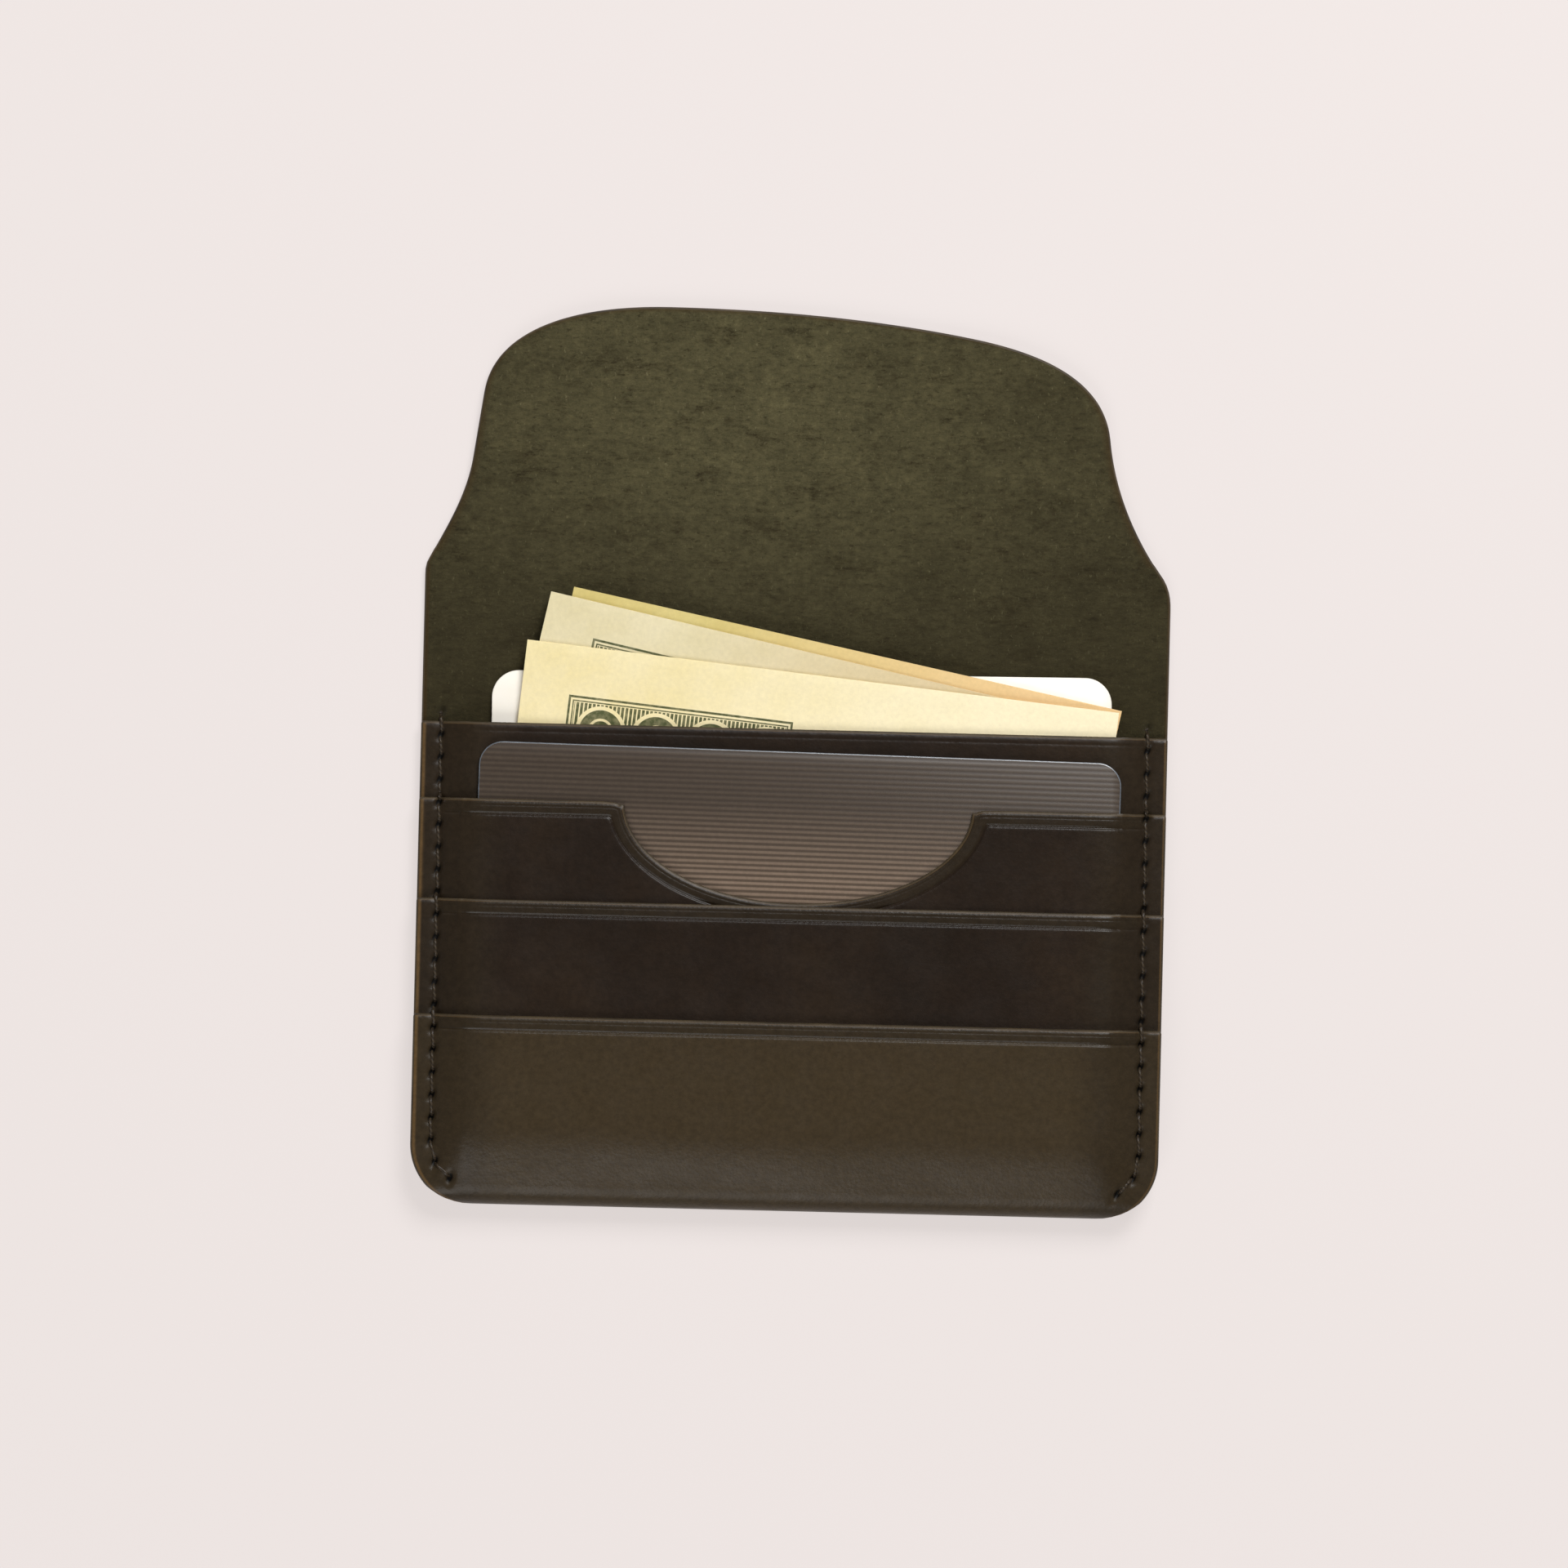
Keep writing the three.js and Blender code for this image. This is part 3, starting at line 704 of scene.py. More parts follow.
def ring_faces(rings, around):
    """Faces of a closed body made of rings of points, with a lid on each end."""
    faces = []
    for ring in range(rings - 1):
        for step in range(around):
            after = (step + 1) % around
            a, b = ring * around, (ring + 1) * around
            faces.append((a + step, a + after, b + after, b + step))
    faces.append(tuple(range(around))[::-1])
    faces.append(tuple((rings - 1) * around + step for step in range(around)))
    return faces


def tube(path, radius, sides=8):
    """Vertices and faces of a closed round strand along a path."""
    path = np.asarray(path)
    tangent = unit(np.gradient(path, axis=0))
    aside = unit(np.cross(tangent, [0, 0, 1.0]))
    over = np.cross(aside, tangent)
    angle = 2 * math.pi * np.arange(sides) / sides
    ring = np.cos(angle)[None, :, None] * aside[:, None] + np.sin(angle)[None, :, None] * over[:, None]
    vertices = (path[:, None] + ring * radius).reshape(-1, 3)
    return vertices, ring_faces(len(path), sides)


def make_thread(name, node, side):
    """A waxed thread, saddle-stitched: a strand over and a strand under each pair of holes."""
    places = HOLES[side]
    vertices, faces = [], []
    count = 0
    share = np.linspace(0, 1, 13)
    ends = np.abs(share - 0.5) * 2
    dive = THREAD_DIVE * np.clip((ends - 0.5) / 0.5, 0, 1) ** 1.2
    climb = 0.5 * np.clip((ends - 0.7) / 0.3, 0, 1) ** 2
    for (x0, y0), (x1, y1) in zip(places, places[1:]):
        direction = np.array([x1 - x0, y1 - y0])
        direction /= np.linalg.norm(direction)
        aside = np.array([-direction[1], direction[0]])
        lean = (share - 0.5)[:, None] * THREAD_LEAN * aside
        flat = np.array([x0, y0]) + share[:, None] * np.array([x1 - x0, y1 - y0]) + lean
        around = (-0.3, 0, 0.3)
        surface = np.array([max(seam_surface(x, y + shift) for shift in around) for x, y in flat])
        lie = np.maximum(surface - THREAD_SUNK - dive, THREAD_LOWEST)
        upper = np.column_stack([flat, lie])
        lower = np.column_stack([flat, UNDER_THREAD + climb])
        for path in (upper, lower):
            strand, quads = tube(path, THREAD_RADIUS)
            vertices.append(strand)
            faces.extend(tuple(index + count for index in quad) for quad in quads)
            count += len(strand)
    piece = new_object(name, np.concatenate(vertices), faces)
    piece.data.materials.append(WAXED_THREAD)
    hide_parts(node)
    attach(piece, "holder")
    return piece


def rounded_outline(width, height, radius, steps=12):
    points = []
    for corner in range(4):
        angle = math.pi / 2 * (corner + np.arange(steps + 1) / steps)
        cx = (width / 2 - radius) * (1 if corner in (0, 3) else -1)
        cy = (height / 2 - radius) * (1 if corner in (0, 1) else -1)
        points.append(np.stack([cx + radius * np.cos(angle), cy + radius * np.sin(angle)], 1))
    return np.concatenate(points)


def turned(points, tilt, middle):
    cos, sin = math.cos(math.radians(tilt)), math.sin(math.radians(tilt))
    x = points[..., 0] * cos - points[..., 1] * sin + middle[0]
    y = points[..., 0] * sin + points[..., 1] * cos + middle[1]
    return np.stack([x, y], -1)


def make_card(name, node, width, height, radius, tilt, material, rim, slot):
    """A plastic card with punched corners and a slightly rounded rim."""
    low, high = corners(node)
    middle = (low + high) / 2
    rounding = [(CARD_ROUND, 0), (CARD_BEVEL, CARD_BEVEL), (0, CARD_ROUND)]
    profile = rounding + [(inset, CARD_THICK - z) for inset, z in reversed(rounding)]
    vertices, places = [], []
    for inset, z in profile:
        flat = rounded_outline(width - 2 * inset, height - 2 * inset, radius - inset)
        vertices.append(np.column_stack([turned(flat, tilt, middle), np.full(len(flat), low[2] + z)]))
        places.append(np.column_stack([flat, np.full(len(flat), z)]))
    around = len(vertices[0])
    faces = ring_faces(len(profile), around)
    piece = new_object(name, np.concatenate(vertices), faces, smooth_angle=35)
    place_attribute(piece, np.concatenate(places))
    piece.data.materials.append(material)
    piece.data.materials.append(rim)
    sides = around * (len(profile) - 1)
    piece.data.polygons.foreach_set("material_index", np.repeat([1, 0], [sides, 2]).astype(np.int32))
    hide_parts(node)
    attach(piece, "holder")
    return piece


def make_note(name, node, tilt, material):
    """A banknote folded in half, fold upwards: two plies and the round fold that joins them."""
    low, high = corners(node)
    turn = math.radians(-tilt)
    across, up = high[0] - low[0], high[1] - low[1]
    width = (across * math.cos(turn) - up * math.sin(turn)) / math.cos(2 * turn)
    height = (up * math.cos(turn) - across * math.sin(turn)) / math.cos(2 * turn)
    middle = (low + high) / 2
    columns = np.linspace(-width / 2, width / 2, 64)
    half, gap = NOTE_THICK / 2, NOTE_THICK / 2 - NOTE_PLY
    straight = np.linspace(-height / 2, height / 2 - half, 44)
    level = np.ones(len(straight))
    arc = np.linspace(-math.pi / 2, math.pi / 2, 9)[1:-1]
    count = 2 * len(straight) + len(arc)
    vertices, places = [], []
    for radius in (half, gap):
        fold = height / 2 - half + radius * np.cos(arc)
        v = np.concatenate([straight, fold, straight[::-1]])[:, None] * np.ones(len(columns))
        z = np.concatenate([radius * level, -radius * np.sin(arc), -radius * level])[:, None]
        z = z * np.ones(len(columns))
        u = np.ones(count)[:, None] * columns
        flat = turned(np.stack([u, v], -1), tilt, middle)
        free = smooth((flat[..., 1] - REAR_TOP - 0.5) / 12)
        curl = free * (0.6 + 0.25 * waves(flat[..., 0], flat[..., 1], 38, 31))
        vertices.append(np.dstack([flat, middle[2] + z + curl]).reshape(-1, 3))
        places.append(np.dstack([u + width / 2, height / 2 - v, z]).reshape(-1, 3))
    total = count * len(columns)
    at = np.arange(total).reshape(count, len(columns))
    quads = grid_quads(at)
    edge = np.array([at[r, c] for r, c in border_loop(count, len(columns))])
    rim = np.stack([edge, edge + total, np.roll(edge, -1) + total, np.roll(edge, -1)], 1)
    faces = np.concatenate([quads[:, ::-1], quads + total, rim])
    piece = new_object(name, np.concatenate(vertices), faces.tolist(), smooth_angle=40)
    place_attribute(piece, np.concatenate(places))
    piece.data.materials.append(material)
    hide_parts(node)
    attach(piece, "holder")
    return piece


def linear(hex_colour):
    """An sRGB hex colour as the linear values that Blender works in."""
    parts = [int(hex_colour[i: i + 2], 16) / 255 for i in (1, 3, 5)]
    return tuple(p / 12.92 if p <= 0.04045 else ((p + 0.055) / 1.055) ** 2.4 for p in parts) + (1.0,)


def add(tree, kind, options=None, inputs=None, out=0):
    """Adds a node and gives one of its outputs. An input takes a number, a hex colour or an output."""
    node = tree.nodes.new("ShaderNode" + kind)
    for name, value in (options or {}).items():
        if name != "stops":
            setattr(node, name, value)
            continue
        elements = node.color_ramp.elements
        while len(elements) < len(value):
            elements.new(0.5)
        for element, (position, colour) in zip(elements, value):
            element.position = position
            element.color = linear(colour) if isinstance(colour, str) else (colour, colour, colour, 1)
    for name, value in (inputs or {}).items():
        if isinstance(value, bpy.types.NodeSocket):
            tree.links.new(value, node.inputs[name])
        else:
            node.inputs[name].default_value = linear(value) if isinstance(value, str) else value
    return node.outputs[out] if node.outputs else node


def new_material(name):
    material = bpy.data.materials.new(name)
    material.use_nodes = True
    tree = material.node_tree
    tree.nodes.clear()
    return material, tree


def flat_place(tree, stretch=(1, 1, 1)):
    """The millimetre place on the piece before it was folded, stretched along its axes."""
    place = add(tree, "Attribute", {"attribute_name": "place"}, out="Vector")
    return add(tree, "VectorMath", {"operation": "MULTIPLY"}, {0: place, 1: stretch})


def marks_on(tree, *names):
    """The numbers that the mesh carries under these names, such as where its edge is worn."""
    return [add(tree, "Attribute", {"attribute_name": name}, out="Fac") for name in names]


def paint_over(tree, colour, *coats):
    """Lays coats over a colour: how much there is of each, and its shade."""
    for amount, shade in coats:
        colour = add(tree, "Mix", {"data_type": "RGBA"}, {0: amount, 6: colour, 7: shade}, out=2)
    return colour


def darken_by(tree, colour, *marks):
    """Multiplies a colour by marks, where 1 leaves it as it is."""
    for mark in marks:
        options = {"data_type": "RGBA", "blend_type": "MULTIPLY"}
        colour = add(tree, "Mix", options, {0: 1.0, 6: colour, 7: mark}, out=2)
    return colour


def finish(tree, inputs):
    shader = add(tree, "BsdfPrincipled", None, inputs)
    add(tree, "OutputMaterial", None, {0: shader})


def oiled_grain_leather():
    """Dark oiled cowhide, grain side: nearly black brown with a lighter band beside the seams, a painted
    olive sheen mixed with the hide's pull-up bloom on the front pocket, and a soft, low shine broken by fine
    pores."""
    material, tree = new_material("oiled_cowhide_grain")
    place = flat_place(tree)
    across, along, layer = add(tree, "SeparateXYZ", None, {0: place}).node.outputs
    band, worn, hole = marks_on(tree, "band", "worn", "hole")

    cloud = add(tree, "TexNoise", None, {"Vector": place, "Scale": 1 / 21, "Detail": 3.0, "Roughness": 0.55})
    cloud_shades = [(0.34, "#1f1711"), (0.52, "#231a13"), (0.72, "#2a2017")]
    bloom = add(tree, "ValToRGB", {"stops": cloud_shades}, {0: cloud})

    # Painted sheen mixed with the hide's pull-up bloom: the whole front pocket is painted warmer and lighter
    # olive.
    pocket_start = BOTTOM + FOLD_OUTER - math.pi * FOLD_OUTER
    up_the_pocket = add(tree, "MapRange", None, {
        "Value": along,
        "From Min": pocket_start - 24,
        "From Max": pocket_start - 15,
        "To Min": 0.6,
        "To Max": 0.72,
    })
    on_main = add(tree, "Math", {"operation": "LESS_THAN"}, {0: layer, 1: 5.0})
    on_front = add(tree, "Math", {"operation": "LESS_THAN"}, {0: along, 1: BOTTOM})
    both = add(tree, "Math", {"operation": "MULTIPLY"}, {0: on_main, 1: on_front})
    front_sheen_and_bloom = add(tree, "Math", {"operation": "MULTIPLY"}, {0: both, 1: up_the_pocket})

    aside = add(tree, "Math", {"operation": "ABSOLUTE"}, {0: across})
    beside_seam = add(tree, "MapRange", None, {
        "Value": aside,
        "From Min": FLAT_HALF - 6.5,
        "From Max": FLAT_HALF - 2,
        "To Max": 0.6,
    })
    pressed = add(tree, "MapRange", None, {"Value": band, "To Max": 0.7})
    # Painted shade: the stitch holes are painted nearly black, as if their depth lay in shadow.
    deep = add(tree, "ValToRGB", {"stops": [(0.3, 0.0), (0.62, 1.0)]}, {0: hole})
    colour = paint_over(
        tree, bloom,
        (front_sheen_and_bloom, "#433826"),
        (beside_seam, "#2c2419"),
        (pressed, "#2b2318"),
        (worn, "#5a462c"),
        (deep, "#060403"),
    )
    speck = add(tree, "TexNoise", None, {"Vector": place, "Scale": 1 / 0.9, "Detail": 4.0, "Roughness": 0.7})
    speck = add(tree, "ValToRGB", {"stops": [(0.35, 0.82), (0.65, 1.12)]}, {0: speck})
    colour = darken_by(tree, colour, speck)

    pores = add(tree, "TexVoronoi", None, {"Vector": place, "Scale": 1 / 0.42}, out="Distance")
    wrinkle_place = flat_place(tree, (1, 1.8, 1))
    wrinkles = {"Vector": wrinkle_place, "Scale": 1 / 1.5, "Detail": 5.0, "Roughness": 0.6}
    wrinkles = add(tree, "TexNoise", None, wrinkles)
    normal = add(tree, "Bump", None, {"Height": pores, "Distance": 0.03 * MM, "Strength": 0.45})
    normal = add(tree, "Bump", None, {
        "Height": wrinkles,
        "Distance": 0.08 * MM,
        "Strength": 0.35,
        "Normal": normal,
    })

    # The pressed line is polished and the holes are dull.
    wear = add(tree, "TexNoise", None, {"Vector": place, "Scale": 1 / 4, "Detail": 4.0, "Roughness": 0.55})
    rough = add(tree, "ValToRGB", {"stops": [(0.3, 0.31), (0.7, 0.42)]}, {0: wear})
    off_band = add(tree, "Math", {"operation": "SUBTRACT"}, {0: 1.0, 1: band})
    line = add(tree, "Math", {"operation": "MULTIPLY"}, {0: band, 1: off_band})
    polish = add(tree, "Math", {"operation": "MULTIPLY_ADD"}, {0: line, 1: -2.5, 2: 1.0})
    rough = add(tree, "Math", {"operation": "MULTIPLY"}, {0: rough, 1: polish})
    rough = add(tree, "Math", {"operation": "MULTIPLY_ADD"}, {0: hole, 1: 0.3, 2: rough})
    finish(tree, {
        "Base Color": colour,
        "Roughness": rough,
        "Normal": normal,
        "IOR": 1.5,
        "Specular IOR Level": 0.19,
    })
    return material


def suede_flesh_leather():
    """The flesh side of the same hide: matted olive-brown fibres, patchy, with no shine."""
    material, tree = new_material("cowhide_flesh_side")
    place = flat_place(tree)
    along = add(tree, "SeparateXYZ", None, {0: place}, out=1)
    worn, = marks_on(tree, "worn")
    # Painted light: the flap is painted lighter round a spot in its middle and darker towards its edges.
    painted_light_pool = {0: place, 1: (-8, 46, 0)}
    painted_light_pool = add(tree, "VectorMath", {"operation": "DISTANCE"}, painted_light_pool, out="Value")
    painted_light_pool = add(tree, "MapRange", None, {"Value": painted_light_pool, "From Min": 8.0, "From Max": 52.0})
    colour = paint_over(tree, "#565138", (painted_light_pool, "#45402b"))

    # What the fibres do: grain size in mm, stretch, detail, roughness, and how the noise turns to a mark
    looks = {
        "patches": (7, (1, 1, 1), 7, 0.78, [(0.36, 0.76), (0.64, 1.14)]),
        "fibres": (1.0, (0.75, 1.3, 1), 8, 0.85, [(0.32, 0.5), (0.5, 1.0), (0.66, 1.45)]),
        "pits": (0.75, (0.7, 1.7, 2), 5, 0.7, [(0.56, 0.0), (0.66, 0.55)]),
        "scuffs": (6, (0.7, 1.3, 4), 8, 0.8, [(0.52, 0.0), (0.64, 0.5)]),
        "torn": (1.3, (0.5, 1.6, 5), 7, 0.8, [(0.5, 0.0), (0.6, 0.75)]),
        "nap": (0.7, (1.5, 0.8, 3), 5, 0.7, [(0.6, 0.0), (0.7, 0.4)]),
    }
    marks = {}
    for name, (size, stretch, detail, rough, stops) in looks.items():
        matted = flat_place(tree, stretch)
        settings = {"Vector": matted, "Scale": 1 / size, "Detail": detail, "Roughness": rough}
        grain = add(tree, "TexNoise", None, settings)
        marks[name] = add(tree, "ValToRGB", {"stops": stops}, {0: grain})
        if name == "fibres":
            fibre_height = grain
    in_scuffs = add(tree, "Math", {"operation": "MULTIPLY"}, {0: marks["torn"], 1: marks["scuffs"]})
    in_scuffs = add(tree, "Math", {"operation": "MULTIPLY"}, {0: in_scuffs, 1: 2.0})
    # Painted shade: the flap is painted darker just above the pockets, where the banknotes shade it.
    painted_shade_near_pocket = add(tree, "MapRange", None, {
        "Value": along,
        "From Min": REAR_TOP + 4,
        "From Max": REAR_TOP + 34,
        "To Min": 0.6,
        "To Max": 0.0,
    })
    edge = add(tree, "MapRange", None, {"Value": worn, "To Max": 0.6})
    colour = darken_by(tree, colour, marks["patches"], marks["fibres"])
    colour = paint_over(
        tree, colour,
        (marks["pits"], "#241f12"),
        (marks["scuffs"], "#332c1a"),
        (in_scuffs, "#171309"),
        (marks["nap"], "#8c8664"),
        (painted_shade_near_pocket, "#2d2717"),
        (edge, "#43321a"),
    )
    normal = add(tree, "Bump", None, {"Height": fibre_height, "Distance": 0.3 * MM, "Strength": 1.0})
    hollows = add(tree, "TexNoise", None, {"Vector": place, "Scale": 1 / 5, "Detail": 4.0, "Roughness": 0.6})
    normal = add(tree, "Bump", None, {
        "Height": hollows,
        "Distance": 0.5 * MM,
        "Strength": 0.5,
        "Normal": normal,
    })
    finish(tree, {
        "Base Color": colour,
        "Normal": normal,
        "Roughness": 0.9,
        "IOR": 1.45,
        "Specular IOR Level": 0.1,
        "Sheen Weight": 0.05,
        "Sheen Roughness": 0.5,
    })
    return material


def burnished_edge():
    """Cut leather edges, rubbed with wax until they close: warmer and lighter than the faces."""
    material, tree = new_material("burnished_cut_edge")
    place = flat_place(tree)
    stain = add(tree, "TexNoise", None, {"Vector": place, "Scale": 1 / 6, "Detail": 4.0})
    ridges = add(tree, "TexNoise", None, {"Vector": place, "Scale": 1 / 0.5, "Detail": 4.0})
    finish(tree, {
        "Base Color": add(tree, "ValToRGB", {"stops": [(0.35, "#31281a"), (0.65, "#463a27")]}, {0: stain}),
        "Normal": add(tree, "Bump", None, {"Height": ridges, "Distance": 0.05 * MM, "Strength": 0.6}),
        "Roughness": 0.5,
        "IOR": 1.5,
        "Specular IOR Level": 0.4,
    })
    return material


def waxed_thread():
    """Waxed polyester sewing thread: black-brown with a dull gleam and a twist every 0.7 mm."""
    material, tree = new_material("waxed_sewing_thread")
    place = add(tree, "TexCoord", None, None, out="Object")
    # Diagonal waves repeat every 0.63 metres divided by the scale, which makes 0.7 mm.
    twist = {"Vector": place, "Scale": 900.0, "Distortion": 1.0}
    twist = add(tree, "TexWave", {"bands_direction": "DIAGONAL"}, twist)
    finish(tree, {
        "Base Color": add(tree, "ValToRGB", {"stops": [(0.2, "#2a2219"), (0.8, "#3c3225")]}, {0: twist}),
        "Normal": add(tree, "Bump", None, {"Height": twist, "Distance": 0.04 * MM, "Strength": 0.8}),
        "Roughness": 0.45,
        "IOR": 1.5,
        "Specular IOR Level": 0.3,
    })
    return material


def pinstriped_card():
    """Laminated card in dark grey-brown, with fine lines pressed across it and a satin face."""
    material, tree = new_material("dark_laminated_card")
    place = flat_place(tree)
    along = add(tree, "SeparateXYZ", None, {0: place}, out=1)
    line_pitch = 0.705
    drift = {"Vector": flat_place(tree, (0.02, 1, 1)), "Scale": 1 / 1.2, "Detail": 3.0, "Roughness": 0.55}
    drift = add(tree, "TexNoise", None, drift)
    drift = add(tree, "MapRange", None, {"Value": drift, "To Max": 1.6})
    turns = {0: along, 1: 2 * math.pi / line_pitch, 2: drift}
    turns = add(tree, "Math", {"operation": "MULTIPLY_ADD"}, turns)
    lines = add(tree, "Math", {"operation": "SINE"}, {0: turns})
    lines = add(tree, "Math", {"operation": "MULTIPLY_ADD"}, {0: lines, 1: 0.5, 2: 0.5})
    on_light = add(tree, "ValToRGB", {"stops": [(0.25, 0.0), (0.75, 1.0)]}, {0: lines})
    # Painted reflection: the card is painted lighter and warmer towards its bottom, where it mirrors the
    # lamps.
    low = add(tree, "MapRange", None, {"Value": along, "From Min": 20.0, "From Max": 5.0})
    dark = paint_over(tree, "#3f362f", (low, "#5b4d41"))
    light = paint_over(tree, "#4b4138", (low, "#8d7a6a"))
    colour = paint_over(tree, dark, (on_light, light))
    flecks = add(tree, "TexNoise", None, {"Vector": place, "Scale": 1 / 0.5, "Detail": 3.0, "Roughness": 0.7})
    flecks = add(tree, "ValToRGB", {"stops": [(0.3, 0.9), (0.7, 1.08)]}, {0: flecks})
    finish(tree, {
        "Base Color": darken_by(tree, colour, flecks),
        "Normal": add(tree, "Bump", None, {"Height": lines, "Distance": 0.03 * MM, "Strength": 0.4}),
        "Roughness": 0.38,
        "IOR": 1.5,
        "Specular IOR Level": 0.3,
        "Coat Weight": 0.1,
        "Coat Roughness": 0.2,
    })
    return material


def rim_core_and_highlight():
    """The pale plastic core of a card, which shows on its polished rim; its pale blue-grey is partly a
    painted highlight along the rim.
    """
    material, tree = new_material("polished_core_and_rim_highlight")
    stain = add(tree, "TexNoise", None, {"Vector": flat_place(tree), "Scale": 1 / 2, "Detail": 3.0})
    finish(tree, {
        "Base Color": add(tree, "ValToRGB", {"stops": [(0.3, "#50565e"), (0.7, "#6b727c")]}, {0: stain}),
        "Roughness": 0.28,
        "IOR": 1.5,
        "Specular IOR Level": 0.8,
    })
    return material


def white_card_stock():
    """White laminated card stock, bare and smooth, with only a breath of unevenness."""
    material, tree = new_material("white_card_stock")
    place = flat_place(tree)
    stain = add(tree, "TexNoise", None, {"Vector": place, "Scale": 1 / 3, "Detail": 3.0})
    fine = add(tree, "TexNoise", None, {"Vector": place, "Scale": 1 / 0.3, "Detail": 3.0})
    finish(tree, {
        "Base Color": add(tree, "ValToRGB", {"stops": [(0.3, "#fffaef"), (0.7, "#fffcf4")]}, {0: stain}),
        "Normal": add(tree, "Bump", None, {"Height": fine, "Distance": 0.01 * MM, "Strength": 0.4}),
        "Roughness": 0.45,
        "IOR": 1.5,
    })
    return material


def engraved_band(tree, left, right, top, bottom):
    """A generic engraving on a note: a double frame round a row of arches on fine teeth.

    Places are millimetres from the note's top left corner, at the fold. Gives how much ink there is."""
    place = flat_place(tree)
    arch_pitch, arch_half, arch_tall, arch_line = 7.4, 3.2, 3.1, 4.3
    tooth_pitch, tooth_wide = 0.55, 0.37

    middle = ((left + right) / 2, (top + bottom) / 2, 0)
    half = ((right - left) / 2, (bottom - top) / 2, 0)
    off = add(tree, "VectorMath", {"operation": "SUBTRACT"}, {0: place, 1: middle})
    off = add(tree, "VectorMath", {"operation": "ABSOLUTE"}, {0: off})
    off = add(tree, "VectorMath", {"operation": "SUBTRACT"}, {0: off, 1: half})
    sideways, upright, _ = add(tree, "SeparateXYZ", None, {0: off}).node.outputs
    outside = add(tree, "Math", {"operation": "MAXIMUM"}, {0: sideways, 1: upright})
    inside = add(tree, "Math", {"operation": "LESS_THAN"}, {0: outside, 1: -0.85})

    # Two frame lines, 0.3 and 0.18 mm wide, by how far a place is inside the band's edge
    depth = {"Value": outside, "From Min": 0.1, "From Max": -0.9}
    depth = add(tree, "MapRange", None, depth)
    lines = [(0.0, 0.0), (0.1, 1.0), (0.4, 0.0), (0.67, 1.0), (0.85, 0.0)]
    frame_ink = add(tree, "ValToRGB", {"stops": lines}, {0: depth})
    frame_ink.node.color_ramp.interpolation = "CONSTANT"

    # Arches: a dark round with a pale ring in it, and a pale rim round it
    centre = (arch_pitch / 2, top + arch_line, 0)
    cell = add(tree, "VectorMath", {"operation": "SUBTRACT"}, {0: place, 1: centre})
    reach = (arch_pitch / 2, 100, 100)
    back = (-arch_pitch / 2, -100, -100)
    cell = add(tree, "VectorMath", {"operation": "WRAP"}, {0: cell, 1: reach, 2: back})
    cell = add(tree, "VectorMath", {"operation": "DIVIDE"}, {0: cell, 1: (arch_half, arch_tall, 1e6)})
    away = add(tree, "VectorMath", {"operation": "LENGTH"}, {0: cell}, out="Value")
    rings = [(0.0, 1.0), (0.412, 0.0), (0.52, 1.0), (0.883, 0.0)]
    arches = add(tree, "ValToRGB", {"stops": rings}, {0: away})
    arches.node.color_ramp.interpolation = "CONSTANT"

    across = add(tree, "SeparateXYZ", None, {0: place})
    teeth = add(tree, "Math", {"operation": "PINGPONG"}, {0: across, 1: tooth_pitch / 2})
    teeth = add(tree, "Math", {"operation": "LESS_THAN"}, {0: teeth, 1: tooth_wide / 2})
    clear = add(tree, "Math", {"operation": "GREATER_THAN"}, {0: away, 1: 1.05})
    teeth = add(tree, "Math", {"operation": "MULTIPLY"}, {0: teeth, 1: clear})
    ink = add(tree, "Math", {"operation": "MAXIMUM"}, {0: teeth, 1: arches})
    ink = add(tree, "Math", {"operation": "MULTIPLY"}, {0: ink, 1: inside})
    return add(tree, "Math", {"operation": "MAXIMUM"}, {0: ink, 1: frame_ink})


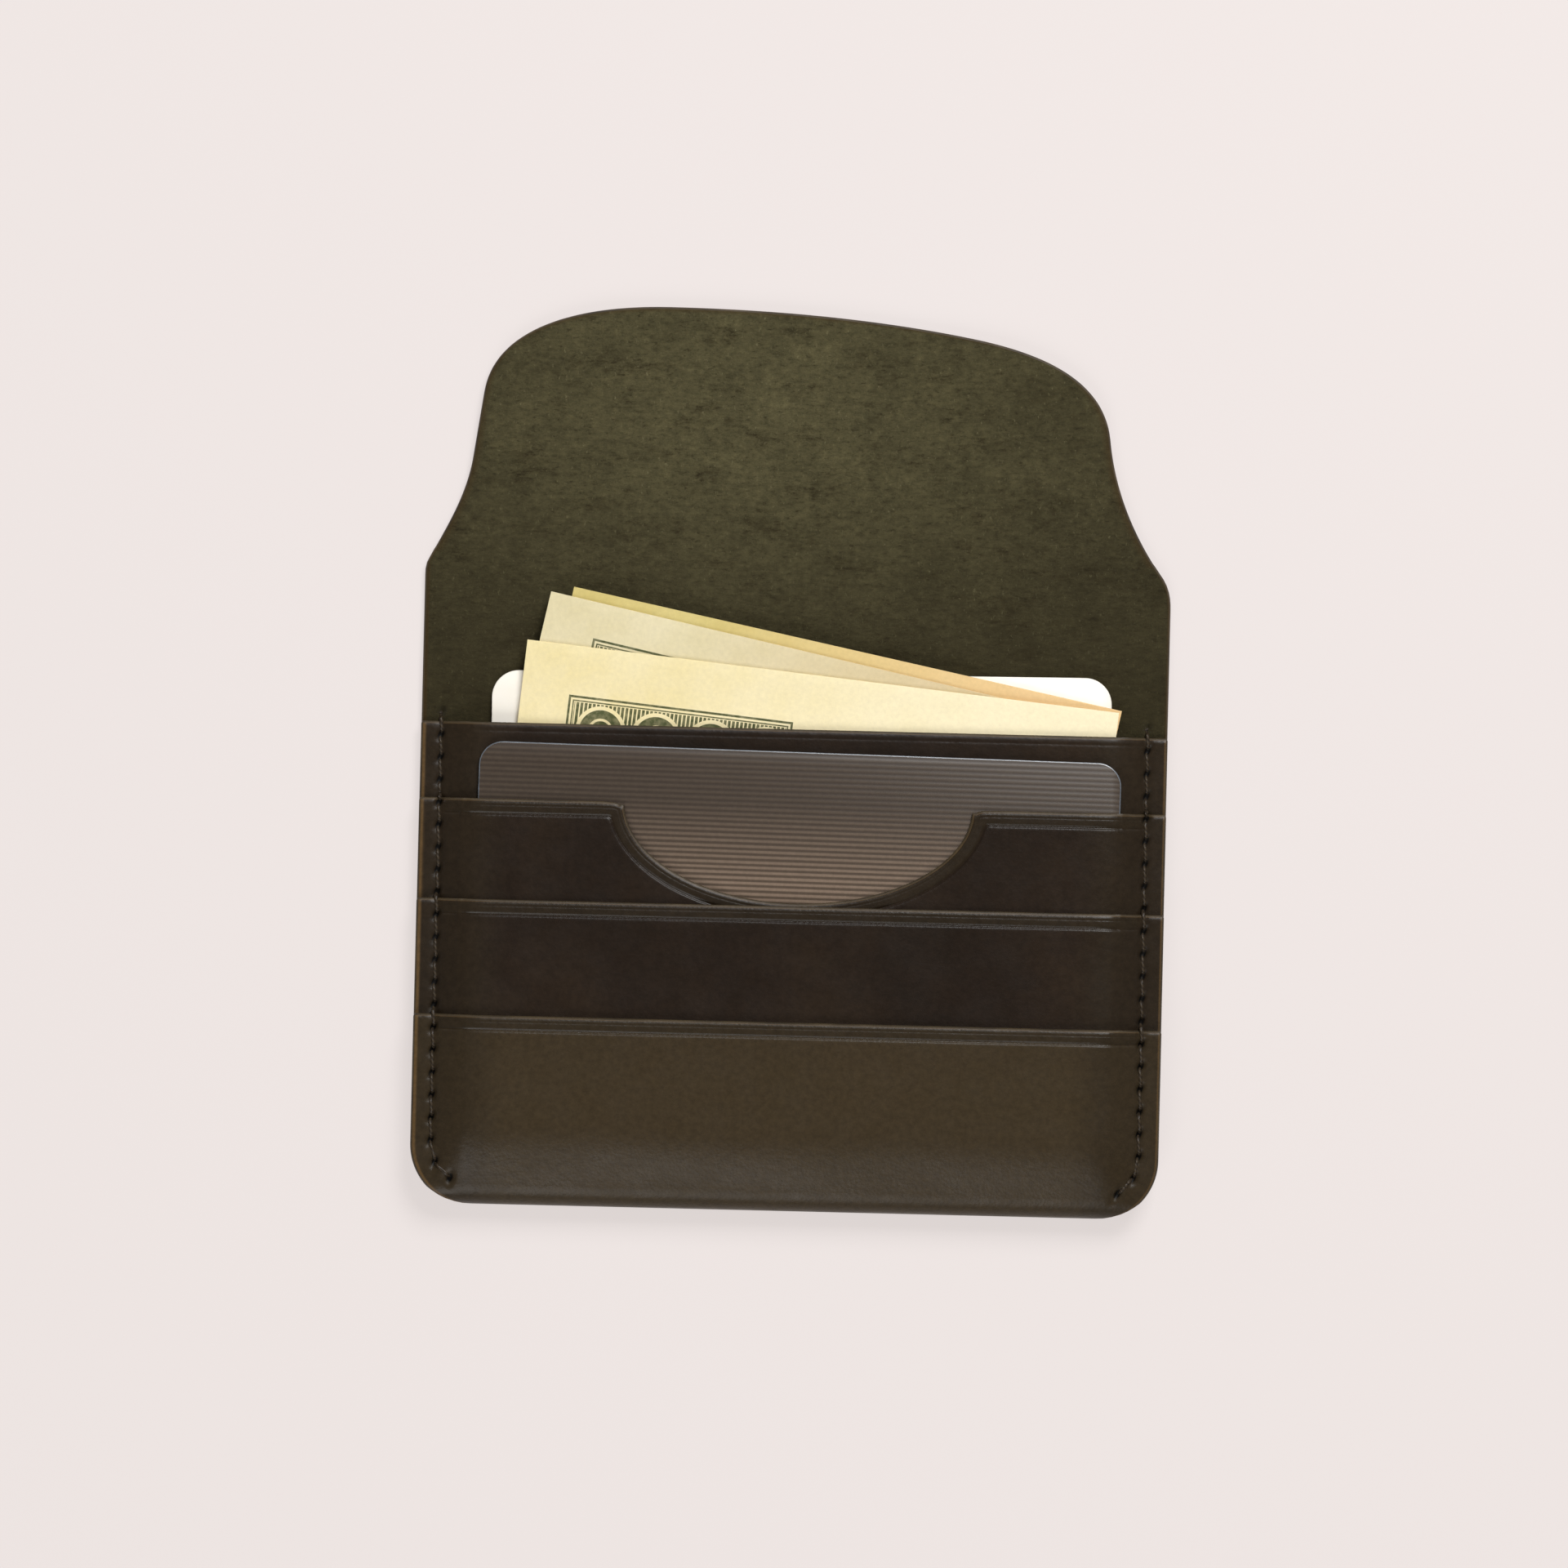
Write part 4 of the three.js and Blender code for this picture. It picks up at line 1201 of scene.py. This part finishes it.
def banknote_paper(name, light, shade, stain, bands):
    """Cotton banknote paper: cream, faintly stained and mottled, with generic green bands engraved."""
    material, tree = new_material(name)
    place = flat_place(tree)
    across = add(tree, "SeparateXYZ", None, {0: place})
    mottle = add(tree, "TexNoise", None, {"Vector": place, "Scale": 1 / 9, "Detail": 4.0, "Roughness": 0.6})
    colour = add(tree, "ValToRGB", {"stops": [(0.3, shade), (0.6, light)]}, {0: mottle})
    to_right = {"Value": across, "From Min": 18.0, "From Max": 62.0, "To Max": 0.8}
    to_right = add(tree, "MapRange", None, to_right)
    colour = paint_over(tree, colour, (to_right, stain))
    fibre = add(tree, "TexNoise", None, {"Vector": place, "Scale": 1 / 0.6, "Detail": 5.0, "Roughness": 0.7})
    fibre = add(tree, "ValToRGB", {"stops": [(0.3, 0.93), (0.7, 1.03)]}, {0: fibre})
    colour = darken_by(tree, colour, fibre)
    for band in bands:
        ink = engraved_band(tree, *band)
        thin = {"Vector": place, "Scale": 1 / 0.8, "Detail": 3.0, "Roughness": 0.6}
        thin = add(tree, "TexNoise", None, thin)
        thin = add(tree, "ValToRGB", {"stops": [(0.3, 0.75), (0.6, 0.95)]}, {0: thin})
        ink = add(tree, "Math", {"operation": "MULTIPLY"}, {0: ink, 1: thin})
        colour = paint_over(tree, colour, (ink, "#3c4725"))
    threads = {"Vector": place, "Scale": 1 / 0.5, "Detail": 4.0, "Roughness": 0.7}
    threads = add(tree, "TexNoise", None, threads)
    cockle = add(tree, "TexNoise", None, {"Vector": place, "Scale": 1 / 7, "Detail": 3.0, "Roughness": 0.5})
    normal = add(tree, "Bump", None, {"Height": threads, "Distance": 0.05 * MM, "Strength": 0.5})
    normal = add(tree, "Bump", None, {
        "Height": cockle,
        "Distance": 0.35 * MM,
        "Strength": 0.35,
        "Normal": normal,
    })
    finish(tree, {
        "Base Color": colour,
        "Normal": normal,
        "Roughness": 0.8,
        "IOR": 1.45,
        "Specular IOR Level": 0.25,
    })
    return material


GRAIN = oiled_grain_leather()
SUEDE = suede_flesh_leather()
BURNISHED = burnished_edge()
WAXED_THREAD = waxed_thread()

make_back()
make_flap()
make_panel(
    "rear_panel", "rear_pocket_panel", top=REAR_TOP, visible_low=NOTCH_TOP - 14,
    seam=REAR_SEAM, lift=REAR_LIFT, crease=REAR_CREASE_FROM_EDGE, pressed=REAR_PRESSED, seed=1,
)
make_panel(
    "notch_panel", "thumb_notch_panel", top=NOTCH_TOP, visible_low=MIDDLE_TOP - 1,
    seam=NOTCH_SEAM, lift=FRONT_LIFT, crease=CREASE_FROM_EDGE, notch=True, seed=2,
)
make_panel(
    "middle_panel", "middle_pocket_panel", top=MIDDLE_TOP, visible_low=FRONT_TOP - 1,
    seam=MIDDLE_SEAM, lift=FRONT_LIFT, crease=CREASE_FROM_EDGE, seed=3,
)
for hand, side in (("left", -1), ("right", 1)):
    make_thread("thread_" + hand, "stitching_" + hand, side)

STRIPED = pinstriped_card()
CORE_AND_HIGHLIGHT = rim_core_and_highlight()
make_card("pinstripe_card", "dark_card", *BANK_CARD, STRIPED, CORE_AND_HIGHLIGHT, "dark_card")
STOCK = white_card_stock()
make_card("plain_card", "white_card", *PLAIN_CARD, STOCK, STOCK, "white_card")

# Engraved bands: left, right, top and bottom in millimetres from the note's top left corner
FRONT_BANDS = [(6.4, 36.5, 6.6, 17.0), (36.9, 70.0, 10.0, 20.0)]
MIDDLE_BANDS = [(6.9, 34.0, 4.8, 14.0)]
PAPERS = {
    "front": ("#f3e6b9", "#eedfa8", "#fbf1d0", FRONT_BANDS),
    "middle": ("#e4dab6", "#dbd0a6", "#d5bd92", MIDDLE_BANDS),
    "back": ("#d6c684", "#ccba72", "#f2cc9a", []),
}
for which, paper in PAPERS.items():
    material = banknote_paper(which + "_note_paper", *paper)
    make_note(which + "_note", "banknote_" + which, NOTE_TILT[which], material)


def make_ground():
    """A pale floor that shows as bright as a studio sweep and keeps the holder's shadow."""
    reach = GROUND_REACH
    flat = [(-reach, -reach, 0), (reach, -reach, 0), (reach, reach, 0), (-reach, reach, 0)]
    ground = new_object("ground", flat, [(0, 1, 2, 3)])
    ground.location.z = -GROUND_DROP * MM
    material, tree = new_material("pale_ground")
    diffuse = add(tree, "BsdfDiffuse", None, {"Color": GROUND})
    glow = add(tree, "Emission", None, {"Color": GROUND, "Strength": 1.0})
    rays = add(tree, "LightPath").node.outputs
    seen = rays["Is Camera Ray"]
    for ray in ("Is Glossy Ray", "Is Transmission Ray"):
        seen = add(tree, "Math", {"operation": "MAXIMUM"}, {0: seen, 1: rays[ray]})
    share = add(tree, "Math", {"operation": "MULTIPLY"}, {0: seen, 1: GROUND_GLOW})
    both = add(tree, "MixShader", None, {0: share, 1: diffuse, 2: glow})
    add(tree, "OutputMaterial", None, {0: both})
    ground.data.materials.append(material)


def make_lamp(name, place, size, power):
    lamp = bpy.data.lights.new(name, "AREA")
    lamp.shape = "SQUARE"
    lamp.size = size
    lamp.energy = power
    holder = bpy.data.objects.new(name, lamp)
    holder.location = place
    holder.rotation_euler = (-holder.location).to_track_quat("-Z", "Y").to_euler()
    bpy.context.scene.collection.objects.link(holder)


def make_camera():
    camera = bpy.data.cameras.new("camera")
    camera.lens = LENS
    camera.sensor_width = SENSOR
    camera.clip_start = 0.01
    holder = bpy.data.objects.new("camera", camera)
    holder.location = (VIEW_RIGHT * MM, (BOTTOM + VIEW_UP) * MM, VIEW_HEIGHT * MM)
    holder.rotation_euler = (0, 0, math.radians(VIEW_TURN))
    bpy.context.scene.collection.objects.link(holder)
    bpy.context.scene.camera = holder


def make_world():
    world = bpy.data.worlds.new("studio")
    world.use_nodes = True
    background = world.node_tree.nodes["Background"]
    background.inputs[0].default_value = linear("#fff3e4")
    background.inputs[1].default_value = 0.22
    bpy.context.scene.world = world


make_ground()
# Lamps: place and size in metres, and power in watts
make_lamp("key", (0.26, 0.6, 0.72), 0.42, 8.6)
make_lamp("fill", (-0.25, -0.95, 0.75), 0.7, 6.4)
make_camera()
make_world()
bpy.context.scene.view_settings.view_transform = "Standard"
